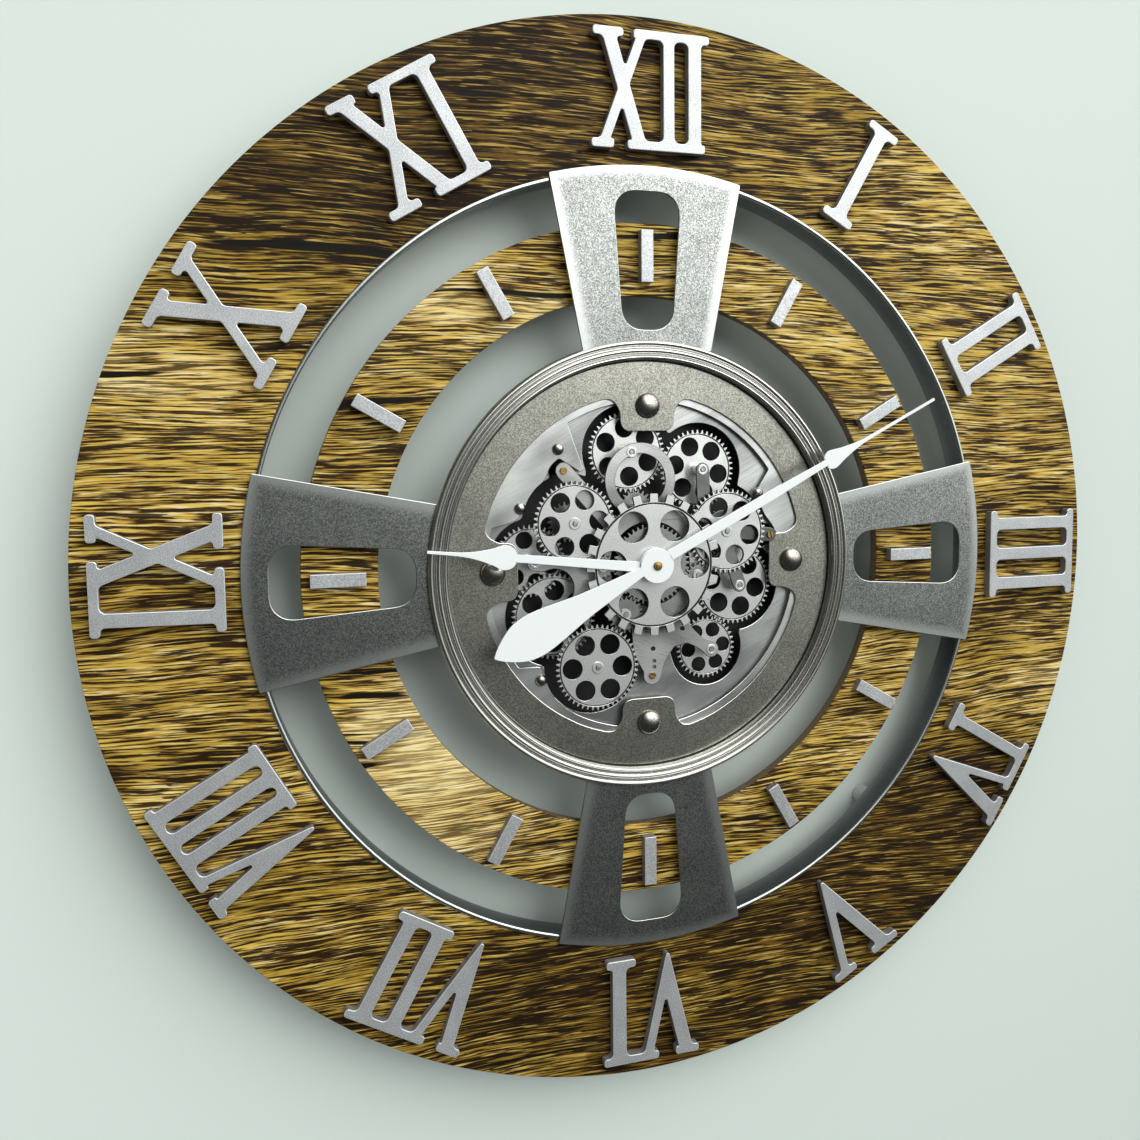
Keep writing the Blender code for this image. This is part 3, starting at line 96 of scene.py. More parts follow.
def feed(tree, node, inputs):
    """Fills a node's inputs, by name or as iN by number. A value may be the output of another node."""
    for key, value in inputs.items():
        socket = node.inputs[int(key[1:])] if key[0] == "i" and key[1:].isdigit() else node.inputs[key]
        if isinstance(value, bpy.types.NodeSocket):
            tree.links.new(value, socket)
        else:
            socket.default_value = value
    return node


def add_node(tree, kind, settings=None, **inputs):
    node = tree.nodes.new(kind)
    for key, value in (settings or {}).items():
        setattr(node, key, value)
    return feed(tree, node, inputs)


def ramp(tree, value, *stops):
    """A ramp through (position, colour or grey) stops."""
    node = add_node(tree, "ShaderNodeValToRGB", i0=value)
    elements = node.color_ramp.elements
    while len(elements) < len(stops):
        elements.new(0.5)
    for element, (position, colour) in zip(elements, stops):
        element.position = position
        element.color = (*colour, 1.0) if isinstance(colour, tuple) else (colour, colour, colour, 1.0)
    return node.outputs[0]


def mixed(tree, factor, first, second, blend="MIX"):
    settings = {"data_type": "RGBA", "blend_type": blend}
    return add_node(tree, "ShaderNodeMix", settings, i0=factor, i6=first, i7=second).outputs[2]


def lit_room():
    """What the metal reflects: bright above at the right, dim at the left and below. It looks pale itself."""
    world = bpy.data.worlds.new("room")
    bpy.context.scene.world = world
    world.use_nodes = True
    tree = world.node_tree
    toward = add_node(tree, "ShaderNodeTexCoord").outputs["Generated"]
    side = add_node(tree, "ShaderNodeVectorMath", {"operation": "DOT_PRODUCT"}, i0=toward, i1=BRIGHT_SIDE)
    glow = ramp(tree, side.outputs["Value"], (0.4, (0.05, 0.056, 0.052)), (0.54, (0.085, 0.094, 0.09)),
                (0.66, (0.4, 0.42, 0.41)), (0.74, (1.15, 1.2, 1.17)), (0.84, (2.1, 2.18, 2.12)))
    seen = add_node(tree, "ShaderNodeLightPath").outputs["Is Camera Ray"]
    feed(tree, tree.nodes["Background"], {"Color": mixed(tree, seen, glow, ROOM_COLOUR), "Strength": 1.0})


def wall_paint():
    """Matt paint that only shows from the room's side, so that the clock can be seen from behind."""
    material, tree, shader = new_material("wall_paint")
    feed(tree, shader, {"Base Color": WALL_COLOUR, "Roughness": 0.8})
    behind = add_node(tree, "ShaderNodeNewGeometry").outputs["Backfacing"]
    clear = add_node(tree, "ShaderNodeBsdfTransparent").outputs[0]
    mix = add_node(tree, "ShaderNodeMixShader", i0=behind, i1=shader.outputs[0], i2=clear)
    feed(tree, tree.nodes["Material Output"], {"Surface": mix.outputs[0]})
    return material


lit_room()
bpy.ops.object.select_all(action="DESELECT")
bpy.ops.mesh.primitive_plane_add(size=WALL_SIZE, location=(0.0, WALL_BEHIND, 0.0), rotation=UPRIGHT)
wall = bpy.context.object
wall.name = "wall"
wall.data.materials.append(wall_paint())

# Outer wooden ring
# A board 9 mm thick, cut to a ring and covered with a printed, rough-sawn wood grain under satin lacquer.
# The grain runs straight across the whole dial, darker at the upper left and at the lower right. The ring
# is screwed to the hoop's tabs from behind.

RING_R = 400.0
HOOP_R = 290.0
SEAT = 0.3
RING_POINTS = 256
BOARD_EDGE = 0.6
SMOOTH_ANGLE = math.radians(21.0)


def polar(radius, degrees, centre=(0.0, 0.0)):
    a = math.radians(degrees)
    return (centre[0] + radius * math.cos(a), centre[1] + radius * math.sin(a))


def circle(radius, count, centre=(0.0, 0.0)):
    return [polar(radius, 360.0 * k / count, centre) for k in range(count)]


def finish_mesh(piece):
    """Merges the doubled points and turns the faces outwards."""
    bpy.ops.object.mode_set(mode="EDIT")
    bpy.ops.mesh.select_all(action="SELECT")
    bpy.ops.mesh.remove_doubles(threshold=0.000002)
    bpy.ops.mesh.normals_make_consistent(inside=False)
    bpy.ops.object.mode_set(mode="OBJECT")
    return piece


def dressed(piece, face, edge, side, bare_back):
    """Finishes for the flat faces, for the broken edges and for the sides, and for a bare back."""
    for material in (face, edge or face, side or face):
        piece.data.materials.append(material)
    for polygon in piece.data.polygons:
        flat = abs(polygon.normal.y)
        polygon.material_index = 0 if flat > 0.97 else 1 if flat > 0.1 else 2
        if bare_back and polygon.normal.y > 0.1:
            polygon.material_index = 2
    return piece


def cut_sheet(loops, low, high, edge, face, rim=None, side=None, steps=1, bare_back=False):
    """A flat piece with broken edges, from its outline and holes, between two heights above the wall."""
    bpy.ops.object.select_all(action="DESELECT")
    bpy.ops.curve.primitive_bezier_circle_add()
    piece = bpy.context.object
    drawing = piece.data
    drawing.splines.clear()
    for loop in loops:
        spline = drawing.splines.new("POLY")
        spline.points.add(len(loop) - 1)
        for point, (x, z) in zip(spline.points, loop):
            point.co = (x * MM, z * MM, 0.0, 1.0)
        spline.use_cyclic_u = True
    drawing.dimensions = "2D"
    drawing.fill_mode = "BOTH"
    drawing.extrude = ((high - low) / 2 - edge) * MM
    drawing.bevel_depth = edge * MM
    drawing.bevel_resolution = steps - 1
    drawing.offset = -edge * MM
    bpy.ops.object.convert(target="MESH")
    piece.rotation_euler = UPRIGHT
    piece.location = (0.0, -(low + high) / 2 * MM, 0.0)
    bpy.ops.object.transform_apply(location=True, rotation=True, scale=True)
    return dressed(finish_mesh(piece), face, rim, side, bare_back)


def seat(parts, name, body, slot, *nodes):
    """Joins and smooths a piece, gives it its name and body, and hides the nodes that it stands for. Its slot
    is not used.
    """
    bpy.ops.object.select_all(action="DESELECT")
    for part in parts:
        part.select_set(True)
    piece = parts[0]
    bpy.context.view_layer.objects.active = piece
    if len(parts) > 1:
        bpy.ops.object.join()
    bpy.ops.object.shade_smooth_by_angle(angle=SMOOTH_ANGLE)
    piece.name = name
    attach(piece, body)
    for node in nodes:
        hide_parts(node)


def depths(node):
    """The back and the front of a node above the wall."""
    low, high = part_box(node)
    return -high.y / MM, -low.y / MM


def own_place(tree):
    return add_node(tree, "ShaderNodeTexCoord").outputs["Object"]


def maths(tree, operation, *values):
    inputs = {f"i{k}": value for k, value in enumerate(values)}
    return add_node(tree, "ShaderNodeMath", {"operation": operation}, **inputs).outputs[0]


def noise(tree, place, scale, detail=3.0, roughness=0.55, distortion=0.0):
    """Noise from a place, with its own scale along X and along Z."""
    stretch = add_node(tree, "ShaderNodeMapping", Vector=place, Scale=(scale[0], scale[0], scale[1]))
    node = add_node(tree, "ShaderNodeTexNoise", Vector=stretch.outputs[0], Scale=1.0, Detail=detail,
                    Roughness=roughness, Distortion=distortion)
    return node.outputs[0]


def faded(tree, value, start, end, first, last, kind="SMOOTHSTEP"):
    """Goes smoothly from first to last while the value goes from start to end."""
    return add_node(tree, "ShaderNodeMapRange", {"interpolation_type": kind}, Value=value, i1=start, i2=end,
                    i3=first, i4=last).outputs[0]


def relief(tree, height, strength, distance):
    bump = add_node(tree, "ShaderNodeBump", Strength=strength, Distance=distance, Height=height)
    return bump.outputs[0]


def wood_print(name, shift, stains):
    """Printed rough-sawn wood. Each stain is (x, z, reach x, reach z, how much darker)."""
    material, tree, shader = new_material(name)
    here = own_place(tree)
    moved = add_node(tree, "ShaderNodeMapping", Vector=here, Location=shift).outputs[0]
    roll = noise(tree, moved, (3.0, 7.0), 2.0)
    ripple = noise(tree, moved, (26.0, 60.0), 2.0)
    lift = maths(tree, "MULTIPLY_ADD", ripple, 0.002, maths(tree, "MULTIPLY_ADD", roll, 0.04, -0.02))
    raised = add_node(tree, "ShaderNodeCombineXYZ", Z=lift).outputs[0]
    along = add_node(tree, "ShaderNodeVectorMath", {"operation": "ADD"}, i0=moved, i1=raised).outputs[0]
    tone = noise(tree, along, (2.2, 13.0), 3.0, 0.6)
    for x, z, reach_x, reach_z, strength in stains:
        centred = add_node(tree, "ShaderNodeMapping", {"vector_type": "TEXTURE"}, Vector=here,
                           Location=(x, 0.0, z), Scale=(reach_x, 10.0, reach_z)).outputs[0]
        far = add_node(tree, "ShaderNodeVectorMath", {"operation": "LENGTH"}, i0=centred).outputs["Value"]
        tone = maths(tree, "SUBTRACT", tone, faded(tree, far, 0.35, 1.3, strength, 0.0))
    ground = ramp(tree, tone, (0.22, (0.01, 0.005, 0.001)), (0.38, (0.06, 0.028, 0.004)),
                  (0.52, (0.2, 0.1, 0.014)), (0.66, (0.38, 0.22, 0.045)), (0.8, (0.66, 0.48, 0.18)))
    patch = noise(tree, along, (10.0, 75.0), 3.0, 0.6)
    cloud = noise(tree, along, (16.0, 240.0), 3.0, 0.6)
    line = noise(tree, along, (30.0, 790.0), 3.0, 0.55, 0.2)
    streak = noise(tree, along, (38.0, 880.0), 2.0, 0.5, 0.2)
    crack = noise(tree, along, (4.0, 120.0), 2.0, 0.45, 0.4)
    bald = maths(tree, "MULTIPLY_ADD", patch, 0.24, -0.12)
    ridge = maths(tree, "ADD", line, maths(tree, "MULTIPLY_ADD", cloud, 0.16, bald))
    gold = ramp(tree, tone, (0.2, (0.15, 0.078, 0.008)), (0.4, (0.44, 0.27, 0.03)),
                (0.6, (0.78, 0.54, 0.11)), (0.78, (1.0, 0.82, 0.4)))
    straw = ramp(tree, tone, (0.2, (0.55, 0.36, 0.08)), (0.4, (0.74, 0.54, 0.17)), (0.65, (1.0, 0.86, 0.5)))
    light = mixed(tree, ramp(tree, ridge, (0.57, 0.0), (0.7, 1.0)), ground, gold)
    bright = mixed(tree, ramp(tree, streak, (0.57, 0.0), (0.64, 0.75)), light, straw)
    depth = ramp(tree, tone, (0.3, 1.0), (0.62, 0.92), (0.8, 0.4))
    dark = maths(tree, "MULTIPLY", ramp(tree, ridge, (0.548, 1.0), (0.578, 0.0)), depth)
    lined = mixed(tree, dark, bright, (0.014, 0.006, 0.001, 1.0))
    cracked = mixed(tree, ramp(tree, crack, (0.305, 1.0), (0.33, 0.0)), lined, (0.006, 0.004, 0.001, 1.0))
    feed(tree, shader, {"Base Color": cracked, "Roughness": ramp(tree, line, (0.35, 0.7), (0.65, 0.55)),
                        "Specular IOR Level": 0.18, "Normal": relief(tree, line, 0.2, 0.0003)})
    return material


def board_cut_painted_shade():
    """The ring's cut edge and back: dark fibreboard, made darker still as painted shade on the cut edges."""
    material, tree, shader = new_material("board_cut_painted_shade")
    speck = noise(tree, own_place(tree), (500.0, 900.0), 3.0)
    brown = ramp(tree, speck, (0.35, (0.11, 0.075, 0.04)), (0.65, (0.2, 0.145, 0.085)))
    feed(tree, shader, {"Base Color": brown, "Roughness": 0.7})
    return material


# Brown fibreboard, darkened as painted shade for the dark cut edges of the rings.
board_and_painted_shade = board_cut_painted_shade()
outer_print = wood_print("outer_wood_print", (0.31, 0.0, 0.13), [
    (-0.17, 0.31, 0.34, 0.16, 0.3), (0.27, -0.27, 0.2, 0.15, 0.3), (0.02, -0.34, 0.18, 0.09, 0.24),
    (-0.33, 0.15, 0.1, 0.09, -0.1)])
back, front = depths("outer_dial_ring")
outer_ring = cut_sheet([circle(RING_R, RING_POINTS), circle(HOOP_R + SEAT, RING_POINTS)], back, front,
                       BOARD_EDGE, outer_print, outer_print, board_and_painted_shade, steps=2, bare_back=True)
seat([outer_ring], "wooden_outer_ring", "clock_body", "wood", "outer_dial_ring")

# Inner wooden ring
# The same printed board, smaller and set 4 mm back, held behind the four metal bridges.
# Twelve silver bars, cut from the same sheet as the numerals, are glued to it as hour marks.

RING_T = 9.0
INNER_R = 254.75
INNER_BORE = 201.75
TICK_IN_R = 210.75
TICK_OUT_R = 248.75
TICK_HALF = 4.75
TICK_EDGE = 0.4

inner_print = wood_print("inner_wood_print", (-0.4, 0.0, 0.52), [
    (-0.165, -0.115, 0.09, 0.06, -0.3), (-0.09, -0.2, 0.2, 0.07, -0.08), (-0.12, 0.16, 0.13, 0.09, -0.13),
    (0.16, 0.17, 0.1, 0.08, -0.12)])
back, tick_front = depths("inner_dial_ring")
tick_back = back + RING_T
inner_ring = cut_sheet([circle(INNER_R, RING_POINTS), circle(INNER_BORE, RING_POINTS)], back, tick_back,
                       BOARD_EDGE, inner_print, inner_print, board_and_painted_shade, steps=2, bare_back=True)
seat([inner_ring], "wooden_inner_ring", "clock_body", "wood", "inner_dial_ring")


def turned(loop, degrees, centre=(0.0, 0.0)):
    c = math.cos(math.radians(degrees))
    s = math.sin(math.radians(degrees))
    return [(centre[0] + x * c - z * s, centre[1] + x * s + z * c) for x, z in loop]


def plain(name, colour, roughness, metallic=0.0, coat=0.0):
    material, tree, shader = new_material(name)
    feed(tree, shader, {"Base Color": (*colour, 1.0), "Roughness": roughness, "Metallic": metallic,
                        "Coat Weight": coat})
    return material


def speckled(name, dark, middle, bright, metallic, roughness, grain=1500.0, depth=0.0001, lightening=None):
    """Metal or metal lacquer with a fine flake and faint clouds, mixed lighter where a mask says: a painted
    reflection on the hoop, lighter edges on the bridges.
    """
    material, tree, shader = new_material(name)
    here = own_place(tree)
    flake = noise(tree, here, (grain, grain), 2.0, 0.7)
    cloud = ramp(tree, noise(tree, here, (40.0, 40.0), 2.0), (0.35, 0.55), (0.65, 1.0))
    colour = ramp(tree, flake, (0.33, dark), (0.5, middle), (0.68, bright))
    toned = mixed(tree, 0.3, colour, cloud, "MULTIPLY")
    # The mask lightens the colour: painted reflection on the hoop, lighter sides and ends on the wedges.
    if lightening:
        toned = mixed(tree, lightening(tree, here), toned, (0.6, 0.62, 0.61, 1.0))
    shine = ramp(tree, flake, (0.35, roughness + 0.03), (0.65, roughness - 0.03))
    feed(tree, shader, {"Base Color": toned, "Metallic": metallic, "Roughness": shine,
                        "Normal": relief(tree, flake, 0.12, depth)})
    return material


SILVER = (
    speckled("silver_lacquer", (0.38, 0.39, 0.41), (0.57, 0.58, 0.6), (0.8, 0.81, 0.82), 0.5, 0.42, 1300.0,
             0.00003),
    plain("silver_edge", (0.78, 0.79, 0.8), 0.34, 0.5),
    speckled("silver_side", (0.2, 0.2, 0.21), (0.3, 0.3, 0.31), (0.42, 0.42, 0.43), 0.5, 0.5))
bar = [(TICK_IN_R, -TICK_HALF), (TICK_OUT_R, -TICK_HALF), (TICK_OUT_R, TICK_HALF), (TICK_IN_R, TICK_HALF)]
bars = [cut_sheet([turned(bar, 30.0 * hour)], tick_back, tick_front, TICK_EDGE, *SILVER, steps=2)
        for hour in range(12)]
seat(bars, "tick_bars", "clock_body", "numeral_silver", "inner_dial_ring")

# Numerals
# Roman numerals 84 mm high, routed from 7 mm sheet and sprayed silver, glued to the outer ring.
# The cutter leaves round inner corners, and the ends of the serifs are rounded too.

INNER_CORNER = 4.2
SERIF_CORNER = 2.4
NOTCH_CORNER = 1.4
NUMERAL_EDGE = 0.5


def front_loops(node, depth=None):
    """The outlines of a flat node's front face, or of its face at a depth, read from its mesh."""
    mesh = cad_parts[node].data
    front_y = min(v.co.y for v in mesh.vertices) if depth is None else -depth * MM
    sides = set()
    for face in mesh.polygons:
        points = [mesh.vertices[i].co for i in face.vertices]
        if all(abs(p.y - front_y) < 0.00002 for p in points):
            names = [(round(p.x / MM, 3), round(p.z / MM, 3)) for p in points]
            sides.update(zip(names, names[1:] + names[:1]))
    ahead = {}
    for a, b in sorted(sides):
        if (b, a) not in sides:
            ahead.setdefault(a, []).append(b)
    loops = []
    while ahead:
        start = next(iter(ahead))
        loop = [start]
        here = ahead[start].pop()
        while here != start:
            loop.append(here)
            here = ahead[here].pop()
        ahead = {a: b for a, b in ahead.items() if b}
        loops.append(loop)
    return loops


def straightened(loop, bend=0.01):
    """The loop without the points that lie on its straight runs."""
    kept = []
    for i, point in enumerate(loop):
        here = Vector(point)
        before = here - Vector(loop[i - 1])
        after = Vector(loop[(i + 1) % len(loop)]) - here
        if before.length > 0.002 and after.length > 0.002 and abs(before.angle_signed(after)) > bend:
            kept.append(point)
    return kept


def softened(loop, radius_at, steps=6):
    """The loop with its corners rounded. radius_at gives the radius for a corner's turn, in degrees."""
    soft = []
    for i, point in enumerate(loop):
        here = Vector(point)
        before = Vector(loop[i - 1]) - here
        after = Vector(loop[(i + 1) % len(loop)]) - here
        turn = math.degrees((-before).angle_signed(after))
        radius = radius_at(turn)
        half = before.angle(after) / 2
        if radius <= 0.0 or half > math.radians(89.9):
            soft.append(point)
            continue
        reach = min(radius / math.tan(half), 0.49 * before.length, 0.49 * after.length)
        first = here + before.normalized() * reach
        last = here + after.normalized() * reach
        for k in range(steps + 1):
            t = k / steps
            a, b, c = (1 - t) ** 2, 2 * t * (1 - t) * math.sin(half), t ** 2
            soft.append(tuple((first * a + here * b + last * c) / (a + b + c)))
    return soft


def signed_area(loop):
    return sum(a[0] * b[1] - b[0] * a[1] for a, b in zip(loop, loop[1:] + loop[:1])) / 2


def routed(loop, outward):
    """Rounds a numeral's corners: large inside, small outside."""
    def radius_at(turn):
        if turn * outward < 0.0:
            return SERIF_CORNER
        return NOTCH_CORNER if abs(turn) > 120.0 else INNER_CORNER
    return softened(loop, radius_at)


for hour in range(1, 13):
    node = f"numeral_{hour:02d}"
    back, front = depths(node)
    raw = [straightened(loop) for loop in front_loops(node)]
    outward = math.copysign(1.0, max((signed_area(loop) for loop in raw), key=abs))
    loops = [routed(loop, outward) for loop in raw]
    numeral = cut_sheet(loops, back, front, NUMERAL_EDGE, *SILVER, steps=2)
    seat([numeral], f"silver_{node}", "clock_body", "numeral_silver", node)

# Hoop
# A steel strip rolled to a hoop, painted dark, with a thin bright lip over the wood and eight welded tabs
# behind, each screwed to the outer ring. Its colour turns lighter towards the wall: a painted reflection of
# the pale wall.

HOOP_IN_R = HOOP_R - 2.0
LIP_T = 1.2
LIP_OVER = 1.5
LIP_STEPS = 12
RING_BACK = 33.0
TAB_T = 2.0
TAB_FACE = RING_BACK - SEAT
TAB_BACK = RING_BACK - SEAT - TAB_T
TAB_EDGE = 0.3
# a tab's corners, from the hoop's outside
TAB = ((-1.0, -17.0), (21.0, -17.0), (24.0, -14.0), (24.0, 14.0), (21.0, 17.0), (-1.0, 17.0))
# the tabs that the hanger and the feet are screwed to
COVERED_TABS = (2, 5, 7)
TAB_SCREW = (14.0, 10.0)
SCREW_HEAD = ((0.0, 0.0), (3.6, 0.0), (3.4, -0.9), (2.2, -1.8), (1.2, -2.0), (1.2, -1.2), (0.0, -1.2))


def spun(profile, face, centre=(0.0, 0.0), steps=192, base=0.0):
    """A turned piece from a closed (radius, depth over its base) profile."""
    bpy.ops.object.select_all(action="DESELECT")
    bpy.ops.mesh.primitive_circle_add(vertices=len(profile), fill_type="NOTHING")
    piece = bpy.context.object
    cx, cz = centre
    for vertex, (radius, depth) in zip(piece.data.vertices, profile):
        vertex.co = ((cx + radius) * MM, -(base + depth) * MM, cz * MM)
    bpy.ops.object.mode_set(mode="EDIT")
    bpy.ops.mesh.select_all(action="SELECT")
    bpy.ops.mesh.spin(steps=steps, angle=2 * math.pi, center=(cx * MM, 0.0, cz * MM), axis=(0.0, 1.0, 0.0))
    bpy.ops.object.mode_set(mode="OBJECT")
    piece.data.materials.append(face)
    return finish_mesh(piece)


def painted_wall_reflection(tree, here):
    """Painted reflection of the pale wall: how near a place on the hoop lies to the wall, from 0 to 0.7."""
    depth = add_node(tree, "ShaderNodeSeparateXYZ", i0=here).outputs["Y"]
    return faded(tree, depth, -0.036, -0.004, 0.0, 0.7)


# Dark paint whose colour is mixed lighter towards the wall, a painted reflection of the pale wall.
hoop_paint_and_reflection = speckled("hoop_paint_and_reflection", (0.09, 0.1, 0.105), (0.14, 0.15, 0.155), (0.2, 0.215, 0.22), 0.9, 0.34,
                      lightening=painted_wall_reflection)
lip_bright = plain("lip_bright", (0.62, 0.64, 0.62), 0.24, 1.0)
zinc = plain("zinc_screw", (0.5, 0.5, 0.48), 0.35, 1.0)
back, front = depths("rim_hoop")
lip_low = front - LIP_T
lip_half = (HOOP_R + LIP_OVER - HOOP_IN_R) / 2
lip_round = [(HOOP_IN_R + lip_half + lip_half * math.cos(math.pi * k / LIP_STEPS),
              lip_low + LIP_T * math.sin(math.pi * k / LIP_STEPS)) for k in range(LIP_STEPS + 1)]
parts = [spun([(HOOP_IN_R, back), (HOOP_R, back), (HOOP_R, lip_low), (HOOP_IN_R, lip_low)], hoop_paint_and_reflection),
         spun(lip_round, lip_bright)]
for k in range(8):
    tab = turned([(HOOP_R + x, z) for x, z in TAB], 45.0 * k)
    parts.append(cut_sheet([tab], TAB_BACK, TAB_FACE, TAB_EDGE, hoop_paint_and_reflection))
seat(parts, "steel_hoop", "clock_body", "hoop_steel", "rim_hoop")
screws = []
for k in range(8):
    if k not in COVERED_TABS:
        for side in (-1.0, 1.0):
            (spot,) = turned([(HOOP_R + TAB_SCREW[0], side * TAB_SCREW[1])], 45.0 * k)
            screws.append(spun(SCREW_HEAD, zinc, spot, 20, TAB_BACK))
seat(screws, "tab_screws", "clock_body", "hanger_steel")

# Bridges
# Four sheet-metal wedges with a long window, which carry the inner ring and the centre on the hoop.
# Their outer end is folded back over the hoop's lip. Sprayed pewter, its colour lighter towards the sides and
# the outer end.

WEDGE_BACK = 43.8
WEDGE_FACE = 45.3
WEDGE_EDGE = 0.45
WEDGE_CORNER = 1.2
# half the width of a wedge: START at the middle of the clock, and SLOPE more with each mm
WEDGE_R = 298.0
WEDGE_START = 14.6
WEDGE_SLOPE = 0.21
FOLD_BACK = 42.3
FOLD_FACE = 44.4
FOLD_EDGE = 0.2
FOLD_OUT_R = 294.2
FOLD_IN_R = 292.1
FOLD_HALF = math.degrees(math.asin(75.0 / 294.5)) - 0.4
PEG_AT = (229.75, 43.0)
PEG_R = 4.0
PEG_BACK = 38.3
PEG_FRONT = 44.0


def arc(radius, start, end, steps, centre=(0.0, 0.0)):
    return [polar(radius, start + (end - start) * k / steps, centre) for k in range(steps + 1)]


def rod(centre, radius, low, high, face, steps=24):
    return spun([(0.0, low), (radius, low), (radius, high), (0.0, high)], face, centre, steps)


def smooth_cut(loop, corner, limit=50.0):
    """Turns the short straight runs of a CAD outline into curves and rounds its real corners a little."""
    return softened(straightened(loop, 0.003), lambda turn: 1000.0 if abs(turn) < limit else corner)


def edge_lightening(tree, here):
    """How near a place on a wedge lies to its sides or to its outer end, from 0 to 0.75."""
    axes = add_node(tree, "ShaderNodeSeparateXYZ", i0=here).outputs
    across_x = maths(tree, "ABSOLUTE", axes["X"])
    across_z = maths(tree, "ABSOLUTE", axes["Z"])
    along = maths(tree, "MAXIMUM", across_x, across_z)
    aside = maths(tree, "MINIMUM", across_x, across_z)
    half = maths(tree, "MULTIPLY_ADD", along, WEDGE_SLOPE, WEDGE_START * MM)
    to_side = maths(tree, "SUBTRACT", half, aside)
    far = add_node(tree, "ShaderNodeVectorMath", {"operation": "LENGTH"}, i0=here).outputs["Value"]
    to_end = maths(tree, "SUBTRACT", WEDGE_R * MM, far)
    return faded(tree, maths(tree, "MINIMUM", to_side, to_end), -0.001, 0.011, 0.75, 0.0, "SMOOTHERSTEP")


PEWTER = (
    speckled("pewter_spray", (0.1, 0.105, 0.1), (0.26, 0.272, 0.265), (0.56, 0.57, 0.55), 0.92, 0.31, 1250.0,
             0.00003, edge_lightening),
    plain("worn_edge", (0.6, 0.6, 0.57), 0.28, 1.0),
    speckled("pewter_side", (0.1, 0.1, 0.09), (0.16, 0.16, 0.15), (0.25, 0.25, 0.24), 0.9, 0.45))
pewter_side = PEWTER[2]
for hour in (12, 3, 6, 9):
    node = f"bridge_{hour}"
    direction = 90.0 - 30.0 * hour
    loops = [smooth_cut(loop, WEDGE_CORNER) for loop in front_loops(node)]
    fold = arc(FOLD_OUT_R, -FOLD_HALF, FOLD_HALF, 24) + arc(FOLD_IN_R, FOLD_HALF, -FOLD_HALF, 24)
    parts = [cut_sheet(loops, WEDGE_BACK, WEDGE_FACE, WEDGE_EDGE, *PEWTER, steps=2),
             cut_sheet([turned(fold, direction)], FOLD_BACK, FOLD_FACE, FOLD_EDGE, pewter_side)]
    for side in (-1, 1):
        (spot,) = turned([(PEG_AT[0], side * PEG_AT[1])], direction)
        parts.append(rod(spot, PEG_R, PEG_BACK, PEG_FRONT, pewter_side))
    seat(parts, f"pewter_{node}", "clock_body", "pewter", node)

# Bezel
# A turned ring with three polished beads, which covers the joint between the centre and the bridges.
# It stands on the pan's flange, and its outer part lies over the bridges' inner ends.

BEZEL_IN_R = 154.0
BEZEL_STEP_R = 160.2
BEZEL_OUT_R = 168.5
LEDGE = 45.6
BEAD_FOOT = LEDGE + 0.6
BEAD_STEPS = 10
BEAD_DROP = 2.0
# each bead's inner radius, outer radius and height, where 1 is the full height
BEADS = ((BEZEL_IN_R, 157.6, 0.85), (158.2, 162.9, 1.0), (163.5, BEZEL_OUT_R, 1.0))

back, front = depths("bezel_ring")
profile = [(BEZEL_IN_R, back), (BEZEL_STEP_R, back), (BEZEL_STEP_R, LEDGE), (BEZEL_OUT_R, LEDGE)]
for left, right, share in reversed(BEADS):
    middle, half = (left + right) / 2, (right - left) / 2
    top = front - (1.0 - share) * BEAD_DROP
    for k in range(BEAD_STEPS + 1):
        a = math.pi * (0.04 + 0.92 * k / BEAD_STEPS)
        profile.append((middle + half * math.cos(a), BEAD_FOOT + (top - LEDGE - 0.6) * math.sin(a)))
bezel = spun(profile, plain("bezel_polish", (0.68, 0.67, 0.64), 0.22, 1.0), steps=240)
seat([bezel], "beaded_bezel", "clock_body", "bezel_metal", "bezel_ring")

# Centre plates
# Two of the three sheets in the pan: the pewter ring with four lugs in front, and a brushed plate behind
# it. Four dome rivets through the lugs hold the stack.

LUG_FACE = 43.0
MID_FACE = 41.2
PLATE_T = 1.5
PLATE_EDGE = 0.4
PLATE_CORNER = 2.0


def refined(loop, corner, limit=50.0):
    """A finer copy of a CAD outline: a true circle where the outline is round all the way."""
    middle = (sum(x for x, z in loop) / len(loop), sum(z for x, z in loop) / len(loop))
    reach = [math.dist(point, middle) for point in loop]
    if max(reach) - min(reach) < 0.02 * max(reach):
        return circle(max(reach), 160 if max(reach) > 30.0 else 32, middle)
    return smooth_cut(loop, corner, limit)


def brushed(name, dark, bright, slant, roughness, metallic):
    """Brushed sheet metal: fine scratches that run along a slanting line."""
    material, tree, shader = new_material(name)
    tilted = add_node(tree, "ShaderNodeMapping", Vector=own_place(tree),
                      Rotation=(0.0, math.radians(slant), 0.0)).outputs[0]
    scratch = noise(tree, tilted, (45.0, 1900.0), 4.0, 0.7)
    cloud = ramp(tree, noise(tree, tilted, (13.0, 26.0), 2.0), (0.36, 0.35), (0.6, 1.0))
    toned = mixed(tree, 0.8, ramp(tree, scratch, (0.3, dark), (0.7, bright)), cloud, "MULTIPLY")
    shine = ramp(tree, scratch, (0.3, roughness + 0.12), (0.7, roughness - 0.08))
    feed(tree, shader, {"Base Color": toned, "Metallic": metallic, "Roughness": shine,
                        "Normal": relief(tree, scratch, 0.2, 0.00005)})
    return material


